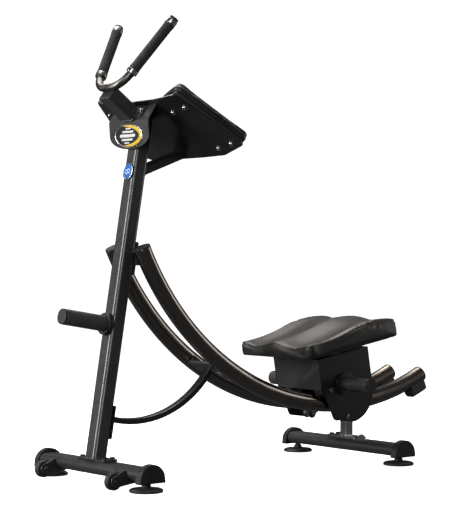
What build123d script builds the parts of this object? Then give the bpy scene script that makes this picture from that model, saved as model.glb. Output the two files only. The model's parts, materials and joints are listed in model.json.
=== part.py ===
"""Abdominal crunch machine: a kneeling carriage that rolls along two curved rails.

Frame: +X points from the upright to the free end of the rails, +Y to the user's left hand
when facing the upright, +Z up. The origin is on the floor, under the middle of the machine.
All sizes are in millimetres and degrees.
"""
import os
from math import asin, cos, degrees, radians, sin, sqrt, tan

from build123d import *

os.makedirs("parts", exist_ok=True)

# ---------------------------------------------------------------- driving dimensions
bar_spacing = 1050          # front foot bar to rear foot bar
bar_length = 576            # each foot bar's tube
bar_width = 80              # flat-oval tube, along X
bar_height = 40             # flat-oval tube, along Z
bar_center_z = 51           # height of both foot bars' centre lines
bar_wall = 3

cap_half_width = 49
cap_bottom_z = 27.5
cap_top_z = 85
cap_inner_y = 270           # where the cap's sleeve starts
cap_outer_wall = 6

foot_y = 259                # levelling feet, each side of the middle
foot_disc_radius = 51.5
foot_disc_height = 11
foot_hub_radius = 14
foot_stud_radius = 6
foot_stud_top_z = 64
foot_travel = 15            # how far a foot screws down
nut_height = 8
nut_flats = 19

wheel_radius = 27
wheel_width = 22
wheel_reach = 75.5          # wheel axle ahead of the front bar's centre line
wheel_z = 31.5
wheel_y = 194
wheel_axle_radius = 5
wheel_bracket_sheet = 4

upright_lean = 9.6          # from vertical, top towards the rails
upright_depth = 50          # along X, square to the tube
upright_width = 60          # along Y
upright_corner = 14
upright_wall = 3
upright_base_x = -6.5       # axis at the top of the foot plate, from the front bar

base_plate_x = 56
base_plate_y = 148
base_plate_thick = 8
base_bolt_x = 15
base_bolt_y = 60

arc_radius = 918            # rail centre line
arc_reach = 947             # arc centre behind the front bar
arc_height = 1119           # arc centre above the floor
arc_front = 64.9            # rail's front end, degrees before the lowest point
arc_rear = 24.6             # rail's rear end, degrees past the lowest point
rail_radius = 27.5
rail_wall = 3
rail_y = 77.3
rail_cap_thick = 5

bumper_start = 20.3         # degrees past the lowest point
bumper_end = 24.3
bumper_width = 46
bumper_depth = 29           # below the rail's underside

post_side = 34              # rear square post

brace_radius = 370
brace_low_reach = 142       # lowest point of the brace, behind the front bar
brace_low_z = 184.5
brace_width = 32
brace_thick = 19
brace_wall = 2

face_plate_height = 105     # plates bolted to the upright's rear face
face_plate_width = 58
face_plate_thick = 6

mid_bracket_angle = 34.3    # cross bracket under the rails, degrees before the lowest point
top_bracket_z = 703

storage_post_z = 493        # where the axis meets the upright's front face
storage_post_length = 167
horn_radius = 25            # plate posts take discs with a 50 mm bore
horn_wall = 3
horn_cap_thick = 5
horn_cap_inset = 0.5        # end caps stay inside the posts, so that discs slide over them
horn_shank_step = 1         # posts are turned down this much inside their collars
storage_collar_radius = 35
storage_collar_thick = 17

cradle_slope = 39.7         # centre panel falls this much towards the rear
cradle_front_reach = 135    # underside of the panel's front edge
cradle_front_z = 1191
cradle_length = 268
cradle_half_width = 105
cradle_sheet = 4
wing_rise = 7.3
wing_front_out = 104        # outer corner at the front, measured from the fold
wing_rear_out = 199
wing_rear_along = 250

elbow_length = 294
elbow_width = 145
elbow_along = 137           # middle of a pad, along the fold and outward from it
elbow_out = 96
elbow_turn = 18
elbow_board_thick = 10
elbow_board_inset = 16
elbow_board_corner = 8
elbow_pad_thick = 38
elbow_corner = 16
elbow_edge = 10             # rounding of a pad's upper rim

strut_slope = 20.6
strut_width = 40
strut_thick = 30
strut_root_z = 977.5

badge_top_reach = 117       # front plate under the handle
badge_top_z = 1131
badge_bottom_reach = 124
badge_bottom_z = 1043
badge_half_width = 106
badge_round_height = 42     # height of the rounded lower part
badge_sheet = 3
badge_flap_slope = 57.3
oval_half_width = 75
oval_half_height = 39
oval_thick = 2.5
emblem_radius = 27
emblem_thick = 5
emblem_z = 968

stem_slope = 36.5           # rises forward
stem_width = 60
stem_depth = 48
stem_wall = 3
stem_tip_reach = 50.7       # point on the stem's centre line
stem_tip_z = 1205.7
stem_over = 15              # how far the stem runs past that point
stem_flange_y = 124
stem_bolt_y = 48
stem_bolt_rise = 9
stem_flange_height = 46
stem_flange_thick = 5

u_reach = 42                # lowest point of the handle bar's centre line
u_z = 1232
u_lean = 34.1               # plane of the bar, from vertical
u_half_flat = 16
u_bend_radius = 70
u_turn = 71.8
u_tube_radius = 12.7
u_wall = 2.5
grip_radius = 16.7
collar_radius = 18.4
collar_length = 13
grip_length = 184
ring_radius = 17.4
ring_length = 15
plug_length = 9
plug_radius = 15.5

carriage_tilt = 9.7
carriage_reach = 919.5      # middle of the carriage's top, behind the front bar
carriage_top_z = 374
carriage_front = 107        # ends of the carriage, each side of its middle
carriage_rear = 124
carriage_height = 240
carriage_corner = 14        # lower front corner of a side plate
carriage_straight = 90      # front edge runs down this far before it tapers
carriage_taper = 37         # and then comes in this much
carriage_taper_end = 214
carriage_half_width = 117
carriage_sheet = 4
cover_sheet = 3
cover_drop = 105

upper_roller_radius = 20
upper_roller_width = 36
upper_roller_angle = 4.9
lower_roller_radius = 15
lower_roller_width = 30
roller_gap = 0.5            # between a roller's groove and the rail
axle_radius = 6
axle_fit = 0.05             # radial running clearance
axle_head_radius = 8.5

carriage_horn_local_x = -7
carriage_horn_drop = 102
carriage_horn_radius = 24
carriage_horn_end_y = 249
carriage_collar_radius = 36
carriage_collar_thick = 13

swivel_radius = 78
swivel_thick = 8
swivel_gap = 0.4
swivel_boss_radius = 20
swivel_fit = 0.06

seat_width = 370
seat_front = 197            # ahead of the swivel axis
seat_rear = 217             # behind the swivel axis
seat_corner = 20
seat_rise = 21.2            # cushion's underside above the carriage's top
seat_board_thick = 12
seat_board_margin = 26

# ---------------------------------------------------------------- derived places
lean = radians(upright_lean)
base_plate_top = bar_center_z + bar_height / 2 + base_plate_thick


def upright_axis_x(z):
    """Upright's centre line, from the front bar, at a height."""
    return upright_base_x + (z - base_plate_top) * tan(lean)


half_depth_level = upright_depth / 2 / cos(lean)
storage_root_x = upright_axis_x(storage_post_z) - half_depth_level
horn_cap_radius = horn_radius - horn_cap_inset
nose = -(storage_root_x - (storage_post_length + horn_cap_thick) * cos(lean) - horn_cap_radius * sin(lean))
rear_angle = radians(arc_rear)
cap_tail = arc_reach + (arc_radius + rail_radius) * sin(rear_angle) + rail_cap_thick * cos(rear_angle)
bumper_tail = arc_reach + (arc_radius + rail_radius + bumper_depth) * sin(radians(bumper_end))
tail = max(cap_tail, bumper_tail)
front_x = (nose - tail) / 2
rear_x = front_x + bar_spacing
arc_x = front_x + arc_reach


def arc_plane(angle):
    """Plane across the rails: x is +Y, y points to the arc's centre, z along the rails."""
    a = radians(angle)
    return Plane(origin=(arc_x, 0, arc_height), x_dir=(0, 1, 0), z_dir=(cos(a), 0, sin(a)))


def swing(start, end):
    """Axis and angle that carry a section from one rail angle to a later one."""
    return Axis((arc_x, 0, arc_height), (0, -1, 0)), end - start


def upright_plane(z, offset=0.0):
    """Plane square to the upright's front and rear: origin on its axis, z away from the rails."""
    x = front_x + upright_axis_x(z) - offset * cos(lean)
    return Plane(origin=(x, 0, z + offset * sin(lean)), x_dir=(0, 1, 0), z_dir=(-cos(lean), 0, sin(lean)))


# ---------------------------------------------------------------- foot bars
for bar_name, bar_x in (("front_foot_bar", front_x), ("rear_foot_bar", rear_x)):
    with BuildPart() as foot_bar:
        with BuildSketch(Plane(origin=(bar_x, -bar_length / 2, bar_center_z), x_dir=(1, 0, 0), z_dir=(0, 1, 0))):
            SlotOverall(bar_width, bar_height)
            SlotOverall(bar_width - 2 * bar_wall, bar_height - 2 * bar_wall, mode=Mode.SUBTRACT)
        extrude(amount=bar_length)
        with BuildSketch(Plane(origin=(bar_x, 0, bar_center_z - bar_height))):
            with Locations((0, -foot_y), (0, foot_y)):
                Circle(foot_stud_radius + 0.5)
        extrude(amount=bar_height, mode=Mode.SUBTRACT)
    foot_bar.part.label = bar_name
    export_step(foot_bar.part, f"parts/{bar_name}.step")

cap_outer_y = bar_length / 2 + cap_outer_wall
cap_sleeve_length = cap_outer_y - cap_inner_y
cap_shoulder_z = 54

with BuildPart() as foot_bar_caps:
    for bar_x in (front_x, rear_x):
        with BuildSketch(Plane(origin=(bar_x, cap_inner_y, 0), x_dir=(-1, 0, 0), z_dir=(0, 1, 0))) as cap_outline:
            with BuildLine():
                Polyline(
                    (-cap_half_width + 4, cap_shoulder_z),
                    (-cap_half_width, cap_bottom_z),
                    (cap_half_width, cap_bottom_z),
                    (cap_half_width - 4, cap_shoulder_z),
                )
                ThreePointArc(
                    (cap_half_width - 4, cap_shoulder_z), (0, cap_top_z), (-cap_half_width + 4, cap_shoulder_z)
                )
            make_face()
            fillet(cap_outline.vertices(), radius=4)
        extrude(amount=cap_sleeve_length)
    outer_rims = foot_bar_caps.faces().filter_by(Axis.Y).group_by(Axis.Y)[-1].edges()
    chamfer(outer_rims, length=2.5)
    for bar_x in (front_x, rear_x):
        with BuildSketch(Plane(origin=(bar_x, cap_inner_y, bar_center_z), x_dir=(1, 0, 0), z_dir=(0, 1, 0))):
            SlotOverall(bar_width, bar_height)
        extrude(amount=bar_length / 2 - cap_inner_y, mode=Mode.SUBTRACT)
    mirror(about=Plane.XZ)
foot_bar_caps.part.label = "foot_bar_caps"
export_step(foot_bar_caps.part, "parts/foot_bar_caps.step")

# ---------------------------------------------------------------- levelling feet
nut_bottom_z = bar_center_z - bar_height / 2 - nut_height
hub_top = nut_bottom_z - 0.5
for foot_name, foot_x, side in (
    ("foot_front_left", front_x, 1),
    ("foot_front_right", front_x, -1),
    ("foot_rear_left", rear_x, 1),
    ("foot_rear_right", rear_x, -1),
):
    with BuildPart() as foot:
        with BuildSketch(Plane(origin=(foot_x, side * foot_y, 0), x_dir=(1, 0, 0), z_dir=(0, -1, 0))):
            with BuildLine():
                Polyline(
                    (0, 0),
                    (foot_disc_radius - 2, 0),
                    (foot_disc_radius, 2),
                    (foot_disc_radius, foot_disc_height - 4),
                    (foot_disc_radius - 6, foot_disc_height),
                    (foot_hub_radius + 4, foot_disc_height + 1),
                    (foot_hub_radius, foot_disc_height + 4),
                    (foot_hub_radius, hub_top),
                    (foot_stud_radius, hub_top),
                    (foot_stud_radius, foot_stud_top_z),
                    (0, foot_stud_top_z),
                    close=True,
                )
            make_face()
        revolve(axis=Axis((foot_x, side * foot_y, 0), (0, 0, 1)))
    foot.part.label = foot_name
    export_step(foot.part, f"parts/{foot_name}.step")

# ---------------------------------------------------------------- transport wheels
wheel_x = front_x - wheel_reach
for wheel_name, side in (("wheel_left", 1), ("wheel_right", -1)):
    with BuildPart() as wheel:
        with BuildSketch(Plane(origin=(wheel_x, side * wheel_y, wheel_z), x_dir=(0, 1, 0), z_dir=(1, 0, 0))):
            with BuildLine():
                Polyline(
                    (-wheel_width / 2 - 1, wheel_axle_radius + axle_fit),
                    (wheel_width / 2 + 1, wheel_axle_radius + axle_fit),
                    (wheel_width / 2 + 1, 9),
                    (wheel_width / 2 - 2, 10),
                    (wheel_width / 2 - 2, wheel_radius - 7),
                    (wheel_width / 2, wheel_radius - 6),
                    (wheel_width / 2, wheel_radius - 3),
                    (wheel_width / 2 - 3, wheel_radius),
                    (-wheel_width / 2 + 3, wheel_radius),
                    (-wheel_width / 2, wheel_radius - 3),
                    (-wheel_width / 2, wheel_radius - 6),
                    (-wheel_width / 2 + 2, wheel_radius - 7),
                    (-wheel_width / 2 + 2, 10),
                    (-wheel_width / 2 - 1, 9),
                    close=True,
                )
            make_face()
        revolve(axis=Axis((wheel_x, 0, wheel_z), (0, 1, 0)))
    wheel.part.label = wheel_name
    export_step(wheel.part, f"parts/{wheel_name}.step")

cheek_gap = wheel_width / 2 + 2
bracket_back = bar_width / 2
bracket_half_height = 18
with BuildPart() as wheel_brackets:
    for side in (1, -1):
        with BuildSketch(
            Plane(
                origin=(wheel_x, side * wheel_y - cheek_gap - wheel_bracket_sheet, wheel_z),
                x_dir=(-1, 0, 0),
                z_dir=(0, 1, 0),
            )
        ):
            with BuildLine():
                Polyline(
                    (0, bracket_half_height),
                    (-(wheel_reach - bracket_back - 8), bar_center_z - wheel_z + 12),
                    (-wheel_reach, bar_center_z - wheel_z + 12),
                    (-wheel_reach, -bracket_half_height + 10),
                    (0, -bracket_half_height),
                )
                ThreePointArc((0, -bracket_half_height), (bracket_half_height, 0), (0, bracket_half_height))
            make_face()
            Circle(wheel_axle_radius, mode=Mode.SUBTRACT)
        extrude(amount=2 * (cheek_gap + wheel_bracket_sheet))
        with BuildSketch(
            Plane(origin=(wheel_x, side * wheel_y - cheek_gap, wheel_z), x_dir=(-1, 0, 0), z_dir=(0, 1, 0))
        ):
            with Locations((0, 0)):
                Circle(wheel_radius + 3)
            with Locations((bracket_half_height, 0)):
                Rectangle(2 * bracket_half_height, 4 * bracket_half_height)
            with Locations((0, -bracket_half_height)):
                Rectangle(2 * wheel_radius + 6, 2 * bracket_half_height)
        extrude(amount=2 * cheek_gap, mode=Mode.SUBTRACT)
        with BuildSketch(
            Plane(
                origin=(front_x, side * wheel_y - cheek_gap - wheel_bracket_sheet, bar_center_z),
                x_dir=(1, 0, 0),
                z_dir=(0, 1, 0),
            )
        ):
            SlotOverall(bar_width, bar_height)
            with Locations((0, -bar_height / 2)):
                Rectangle(bar_width, bar_height)
            with Locations((bar_width / 2, 0)):
                Rectangle(bar_width, 2 * bar_height)
        extrude(amount=2 * (cheek_gap + wheel_bracket_sheet), mode=Mode.SUBTRACT)
wheel_brackets.part.label = "wheel_brackets"
export_step(wheel_brackets.part, "parts/wheel_brackets.step")

with BuildPart() as wheel_axles:
    for side in (1, -1):
        cheek_outer = cheek_gap + wheel_bracket_sheet
        with BuildSketch(
            Plane(origin=(wheel_x, side * wheel_y - cheek_outer, wheel_z), x_dir=(1, 0, 0), z_dir=(0, 1, 0))
        ):
            Circle(wheel_axle_radius)
        extrude(amount=2 * cheek_outer)
        with BuildSketch(
            Plane(origin=(wheel_x, side * wheel_y - cheek_outer, wheel_z), x_dir=(1, 0, 0), z_dir=(0, -1, 0))
        ):
            RegularPolygon(radius=8.5, side_count=6)
        extrude(amount=5)
        with BuildSketch(
            Plane(origin=(wheel_x, side * wheel_y + cheek_outer, wheel_z), x_dir=(1, 0, 0), z_dir=(0, 1, 0))
        ):
            RegularPolygon(radius=8.5, side_count=6)
        extrude(amount=5)
wheel_axles.part.label = "wheel_axles"
export_step(wheel_axles.part, "parts/wheel_axles.step")

# ---------------------------------------------------------------- upright
cradle_angle = radians(cradle_slope)
cradle_front_x = front_x + cradle_front_reach
cradle_plane = Plane(
    origin=(cradle_front_x, 0, cradle_front_z),
    x_dir=(cos(cradle_angle), 0, -sin(cradle_angle)),
    z_dir=(sin(cradle_angle), 0, cos(cradle_angle)),
)
upright_foot = Plane(
    origin=(front_x + upright_base_x - upright_depth * sin(lean), 0, base_plate_top - upright_depth * cos(lean)),
    x_dir=(cos(lean), 0, -sin(lean)),
    z_dir=(sin(lean), 0, cos(lean)),
)
with BuildPart() as upright:
    with BuildSketch(upright_foot):
        RectangleRounded(upright_depth, upright_width, upright_corner)
        RectangleRounded(
            upright_depth - 2 * upright_wall,
            upright_width - 2 * upright_wall,
            upright_corner - upright_wall,
            mode=Mode.SUBTRACT,
        )
    extrude(amount=cradle_front_z)
    split(bisect_by=Plane.XY.offset(base_plate_top), keep=Keep.TOP)
    split(bisect_by=cradle_plane, keep=Keep.BOTTOM)
upright.part.label = "upright"
export_step(upright.part, "parts/upright.step")

with BuildPart() as upright_foot_plate:
    with BuildSketch(Plane(origin=(front_x, 0, base_plate_top - base_plate_thick))):
        RectangleRounded(base_plate_x, base_plate_y, 8)
        with GridLocations(2 * base_bolt_x, 2 * base_bolt_y, 2, 2):
            Circle(5, mode=Mode.SUBTRACT)
    extrude(amount=base_plate_thick)
upright_foot_plate.part.label = "upright_foot_plate"
export_step(upright_foot_plate.part, "parts/upright_foot_plate.step")

# ---------------------------------------------------------------- curved rails
for rail_name, side in (("rail_left", 1), ("rail_right", -1)):
    with BuildPart() as rail:
        with BuildSketch(arc_plane(-arc_front)):
            with Locations((side * rail_y, -arc_radius)):
                Circle(rail_radius)
                Circle(rail_radius - rail_wall, mode=Mode.SUBTRACT)
        rail_axis, rail_sweep = swing(-arc_front, arc_rear)
        revolve(axis=rail_axis, revolution_arc=rail_sweep)
    rail.part.label = rail_name
    export_step(rail.part, f"parts/{rail_name}.step")

with BuildPart() as rail_end_caps:
    for end_angle, outward in ((-arc_front, -1), (arc_rear, 1)):
        with BuildSketch(arc_plane(end_angle)):
            with Locations((rail_y, -arc_radius), (-rail_y, -arc_radius)):
                Circle(rail_radius)
        extrude(amount=outward * rail_cap_thick)
rail_end_caps.part.label = "rail_end_caps"
export_step(rail_end_caps.part, "parts/rail_end_caps.step")

with BuildPart() as rail_bumpers:
    with BuildSketch(arc_plane(bumper_start)):
        for side in (1, -1):
            with BuildLine():
                Polyline(
                    (side * (rail_y - bumper_width / 2), -arc_radius - 8),
                    (side * (rail_y - bumper_width / 2), -arc_radius - rail_radius - bumper_depth + 8),
                    (side * (rail_y - bumper_width / 2 + 8), -arc_radius - rail_radius - bumper_depth),
                    (side * (rail_y + bumper_width / 2 - 8), -arc_radius - rail_radius - bumper_depth),
                    (side * (rail_y + bumper_width / 2), -arc_radius - rail_radius - bumper_depth + 8),
                    (side * (rail_y + bumper_width / 2), -arc_radius - 8),
                    close=True,
                )
            make_face()
        with Locations((rail_y, -arc_radius), (-rail_y, -arc_radius)):
            Circle(rail_radius, mode=Mode.SUBTRACT)
    bumper_axis, bumper_sweep = swing(bumper_start, bumper_end)
    revolve(axis=bumper_axis, revolution_arc=bumper_sweep)
rail_bumpers.part.label = "rail_bumpers"
export_step(rail_bumpers.part, "parts/rail_bumpers.step")

# ---------------------------------------------------------------- rear post and cross members
inner_gap = 2 * (rail_y - rail_radius)
cross_radius = 15
rear_post_angle = degrees(asin((rear_x - arc_x) / arc_radius))
rear_cross_z = arc_height - arc_radius * cos(radians(rear_post_angle))
with BuildPart() as rear_cross_member:
    with BuildSketch(Plane(origin=(rear_x, 0, rear_cross_z), x_dir=(1, 0, 0), z_dir=(0, 1, 0))):
        Circle(cross_radius)
    extrude(amount=inner_gap / 2 + rail_radius, both=True)
    for side in (1, -1):
        with BuildSketch(arc_plane(rear_post_angle - 2)):
            with Locations((side * rail_y, -arc_radius)):
                Circle(rail_radius)
        cut_axis, cut_sweep = swing(rear_post_angle - 2, rear_post_angle + 2)
        revolve(axis=cut_axis, revolution_arc=cut_sweep, mode=Mode.SUBTRACT)
rear_cross_member.part.label = "rear_cross_member"
export_step(rear_cross_member.part, "parts/rear_cross_member.step")

with BuildPart() as rear_post:
    with BuildSketch(Plane(origin=(rear_x, 0, base_plate_top - base_plate_thick))):
        RectangleRounded(base_plate_x, base_plate_y, 8)
        with GridLocations(2 * base_bolt_x, 2 * base_bolt_y, 2, 2):
            Circle(5, mode=Mode.SUBTRACT)
    extrude(amount=base_plate_thick)
    with BuildSketch(Plane(origin=(rear_x, 0, base_plate_top))):
        RectangleRounded(post_side, post_side, 5)
        RectangleRounded(post_side - 6, post_side - 6, 2, mode=Mode.SUBTRACT)
    extrude(amount=rear_cross_z - base_plate_top)
    with BuildSketch(Plane(origin=(rear_x, 0, rear_cross_z), x_dir=(1, 0, 0), z_dir=(0, 1, 0))):
        Circle(cross_radius)
    extrude(amount=post_side, both=True, mode=Mode.SUBTRACT)
rear_post.part.label = "rear_post"
export_step(rear_post.part, "parts/rear_post.step")

# bracket between the upright's rear face and the tops of the rails
rear_face_offset = -(upright_depth / 2)
with BuildPart() as rail_top_bracket:
    with BuildSketch(upright_plane(top_bracket_z, rear_face_offset - face_plate_thick)):
        RectangleRounded(face_plate_width, face_plate_height, 6)
        with Locations((0, face_plate_height / 2 - 14), (0, -face_plate_height / 2 + 14)):
            Circle(5, mode=Mode.SUBTRACT)
    extrude(amount=face_plate_thick)
    with BuildSketch(upright_plane(top_bracket_z, rear_face_offset - face_plate_thick)):
        Rectangle(2 * rail_y, 38)
    extrude(amount=-18)
    for side in (1, -1):
        with BuildSketch(arc_plane(-arc_front)):
            with Locations((side * rail_y, -arc_radius)):
                Circle(rail_radius)
        cut_axis, cut_sweep = swing(-arc_front, -arc_front + 8)
        revolve(axis=cut_axis, revolution_arc=cut_sweep, mode=Mode.SUBTRACT)
rail_top_bracket.part.label = "rail_top_bracket"
export_step(rail_top_bracket.part, "parts/rail_top_bracket.step")

# cross bracket where the brace meets the rails
mid_plate_thick = 8
mid_plate_drop = 14         # plate's upper face below the rails' centre line
with BuildPart() as rail_mid_bracket:
    with BuildSketch(arc_plane(-mid_bracket_angle)):
        with Locations((0, -arc_radius - mid_plate_drop - mid_plate_thick / 2)):
            Rectangle(2 * rail_y, mid_plate_thick)
        for side in (1, -1):
            with Locations((side * (inner_gap / 2 - 6), -arc_radius - mid_plate_drop + 10)):
                Rectangle(6, 20)
    extrude(amount=26, both=True)
    for side in (1, -1):
        with BuildSketch(arc_plane(-mid_bracket_angle - 3)):
            with Locations((side * rail_y, -arc_radius)):
                Circle(rail_radius)
        cut_axis, cut_sweep = swing(-mid_bracket_angle - 3, -mid_bracket_angle + 3)
        revolve(axis=cut_axis, revolution_arc=cut_sweep, mode=Mode.SUBTRACT)
    # the corners of the plate outside the rails are trimmed away
    with BuildSketch(arc_plane(-mid_bracket_angle)):
        for side in (1, -1):
            with Locations((side * (rail_y + 10), -arc_radius)):
                Rectangle(54, 120)
    extrude(amount=40, both=True, mode=Mode.SUBTRACT)
rail_mid_bracket.part.label = "rail_mid_bracket"
export_step(rail_mid_bracket.part, "parts/rail_mid_bracket.step")

# ---------------------------------------------------------------- brace
brace_x = front_x + brace_low_reach
brace_center_z = brace_low_z + brace_radius
mid_angle = radians(mid_bracket_angle)
mid_under = arc_radius + mid_plate_drop + mid_plate_thick
mid_under_x = arc_x - mid_under * sin(mid_angle)
mid_under_z = arc_height - mid_under * cos(mid_angle)


def brace_plane(angle):
    """Plane across the brace at an angle from its lowest point."""
    a = radians(angle)
    return Plane(origin=(brace_x, 0, brace_center_z), x_dir=(0, 1, 0), z_dir=(cos(a), 0, sin(a)))


brace_face = upright_plane(brace_low_z + 8, rear_face_offset - face_plate_thick)
brace_front_angle = -20
brace_rear_angle = 62
with BuildPart() as brace:
    with BuildSketch(brace_plane(brace_front_angle)):
        with Locations((0, -brace_radius)):
            RectangleRounded(brace_width, brace_thick, 5)
            RectangleRounded(brace_width - 2 * brace_wall, brace_thick - 2 * brace_wall, 3, mode=Mode.SUBTRACT)
    revolve(
        axis=Axis((brace_x, 0, brace_center_z), (0, -1, 0)),
        revolution_arc=brace_rear_angle - brace_front_angle,
    )
    split(bisect_by=brace_face, keep=Keep.BOTTOM)
    split(
        bisect_by=Plane(
            origin=(mid_under_x, 0, mid_under_z), x_dir=(0, 1, 0), z_dir=(sin(mid_angle), 0, cos(mid_angle))
        ),
        keep=Keep.BOTTOM,
    )
    with BuildSketch(brace_face):
        RectangleRounded(face_plate_width, face_plate_height, 6)
        with Locations((0, face_plate_height / 2 - 14), (0, -face_plate_height / 2 + 14)):
            Circle(5, mode=Mode.SUBTRACT)
    extrude(amount=face_plate_thick)
brace.part.label = "brace"
export_step(brace.part, "parts/brace.step")

# ---------------------------------------------------------------- storage post
storage_face = Plane(
    origin=(front_x + storage_root_x, 0, storage_post_z), x_dir=(0, 1, 0), z_dir=(-cos(lean), 0, sin(lean))
)
with BuildPart() as storage_post:
    with BuildSketch(storage_face):
        Circle(horn_radius - horn_shank_step)
        Circle(horn_radius - horn_wall, mode=Mode.SUBTRACT)
    extrude(amount=storage_collar_thick)
    with BuildSketch(storage_face.offset(storage_collar_thick)):
        Circle(horn_radius)
        Circle(horn_radius - horn_wall, mode=Mode.SUBTRACT)
    extrude(amount=storage_post_length - storage_collar_thick)
storage_post.part.label = "storage_post"
export_step(storage_post.part, "parts/storage_post.step")

with BuildPart() as storage_collar:
    with BuildSketch(storage_face):
        Circle(storage_collar_radius)
        Circle(horn_radius - horn_shank_step, mode=Mode.SUBTRACT)
    extrude(amount=storage_collar_thick)
    chamfer(storage_collar.faces().sort_by(Axis.X)[0].edges().sort_by(SortBy.LENGTH)[-1], length=2)
storage_collar.part.label = "storage_collar"
export_step(storage_collar.part, "parts/storage_collar.step")

with BuildPart() as storage_end_cap:
    with BuildSketch(storage_face.offset(storage_post_length)):
        Circle(horn_cap_radius)
    extrude(amount=horn_cap_thick)
    with BuildSketch(storage_face.offset(storage_post_length)):
        Circle(horn_radius - horn_wall)
    extrude(amount=-12)
storage_end_cap.part.label = "storage_end_cap"
export_step(storage_end_cap.part, "parts/storage_end_cap.step")

# ---------------------------------------------------------------- elbow-pad cradle
rise = radians(wing_rise)
wing_origin = (cradle_front_x, cradle_half_width, cradle_front_z)
wing_plane = Plane(
    origin=wing_origin,
    x_dir=cradle_plane.x_dir,
    z_dir=cradle_plane.z_dir * cos(rise) - Vector(0, 1, 0) * sin(rise),
)
wing_points = (
    (0, 0),
    (0, wing_front_out),
    (wing_rear_along, wing_rear_out),
    (cradle_length + 8, 88),
    (cradle_length, 0),
)
with BuildPart() as cradle:
    with BuildSketch(wing_plane) as wing_outline:
        with BuildLine():
            Polyline(*wing_points, close=True)
        make_face()
        fillet(wing_outline.vertices().group_by(Axis.Y)[-2:], radius=14)
    extrude(amount=cradle_sheet)
    mirror(about=Plane.XZ)
    with BuildSketch(cradle_plane):
        with Locations((cradle_length / 2, 0)):
            Rectangle(cradle_length, 2 * cradle_half_width)
    extrude(amount=cradle_sheet)
cradle.part.label = "cradle"
export_step(cradle.part, "parts/cradle.step")

board_plane = wing_plane.offset(cradle_sheet)
pad_place = Location((elbow_along, elbow_out, 0), (0, 0, elbow_turn))
with BuildPart() as elbow_boards:
    with BuildSketch(board_plane):
        with Locations(pad_place):
            RectangleRounded(
                elbow_length - 2 * elbow_board_inset,
                elbow_width - 2 * elbow_board_inset,
                elbow_board_corner,
            )
    extrude(amount=elbow_board_thick)
    mirror(about=Plane.XZ)
elbow_boards.part.label = "elbow_boards"
export_step(elbow_boards.part, "parts/elbow_boards.step")

with BuildPart() as elbow_pad:
    with BuildSketch(board_plane.offset(elbow_board_thick)):
        with Locations(pad_place):
            RectangleRounded(elbow_length, elbow_width, elbow_corner)
    extrude(amount=elbow_pad_thick)
    fillet(elbow_pad.faces().sort_by(Axis.Z)[-1].edges(), radius=elbow_edge)
elbow_pad.part.label = "elbow_pad_left"
export_step(elbow_pad.part, "parts/elbow_pad_left.step")
with BuildPart() as elbow_pad_right:
    mirror(elbow_pad.part, about=Plane.XZ)
elbow_pad_right.part.label = "elbow_pad_right"
export_step(elbow_pad_right.part, "parts/elbow_pad_right.step")

pad_bolt_places = ((66, 36), (58, 98), (243, 88), (236, 152))
pad_bolt_radius = 6.5
with BuildPart() as pad_bolts:
    with BuildSketch(wing_plane):
        with Locations(*pad_bolt_places):
            Circle(pad_bolt_radius)
    extrude(amount=-4)
    mirror(about=Plane.XZ)
pad_bolts.part.label = "pad_bolts"
export_step(pad_bolts.part, "parts/pad_bolts.step")

# ---------------------------------------------------------------- strut under the cradle
strut_angle = radians(strut_slope)
strut_root_x = front_x + upright_axis_x(strut_root_z) + half_depth_level
strut_start = Plane(
    origin=(strut_root_x - strut_thick * cos(strut_angle), 0, strut_root_z - strut_thick * sin(strut_angle)),
    x_dir=(0, 1, 0),
    z_dir=(cos(strut_angle), 0, sin(strut_angle)),
)
with BuildPart() as pad_strut:
    with BuildSketch(strut_start):
        RectangleRounded(strut_width, strut_thick, 5)
        RectangleRounded(strut_width - 6, strut_thick - 6, 2, mode=Mode.SUBTRACT)
    extrude(amount=cradle_length)
    split(bisect_by=upright_plane(strut_root_z, rear_face_offset), keep=Keep.BOTTOM)
    split(bisect_by=cradle_plane, keep=Keep.BOTTOM)
pad_strut.part.label = "pad_strut"
export_step(pad_strut.part, "parts/pad_strut.step")

# ---------------------------------------------------------------- badge plate under the handle
badge_run = badge_bottom_reach - badge_top_reach
badge_fall = badge_top_z - badge_bottom_z
badge_face_height = sqrt(badge_run**2 + badge_fall**2)
badge_down = Vector(badge_run, 0, -badge_fall).normalized()
badge_out = Vector(-badge_fall, 0, -badge_run).normalized()
badge_plane = Plane(
    origin=(front_x + badge_top_reach, 0, badge_top_z), x_dir=(0, -1, 0), z_dir=(badge_out.X, 0, badge_out.Z)
)
flap_angle = radians(badge_flap_slope)
flap_plane = Plane(
    origin=(front_x + badge_top_reach, 0, badge_top_z),
    x_dir=(0, -1, 0),
    z_dir=(-sin(flap_angle), 0, cos(flap_angle)),
)
with BuildPart() as badge_plate:
    with BuildSketch(badge_plane):
        with BuildLine():
            Line((-badge_half_width, -badge_face_height + badge_round_height), (-badge_half_width, 0))
            Line((-badge_half_width, 0), (badge_half_width, 0))
            Line((badge_half_width, 0), (badge_half_width, -badge_face_height + badge_round_height))
            EllipticalCenterArc(
                (0, -badge_face_height + badge_round_height),
                badge_half_width,
                badge_round_height,
                start_angle=180,
                arc_size=180,
            )
        make_face()
    extrude(amount=-badge_sheet)
    with BuildSketch(flap_plane):
        with Locations((0, 40)):
            Rectangle(2 * badge_half_width, 80)
    extrude(amount=-badge_sheet)
    split(bisect_by=cradle_plane, keep=Keep.BOTTOM)
    with BuildSketch(upright_foot):
        RectangleRounded(upright_depth, upright_width, upright_corner)
    extrude(amount=cradle_front_z, mode=Mode.SUBTRACT)
badge_plate.part.label = "badge_plate"
export_step(badge_plate.part, "parts/badge_plate.step")

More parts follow.
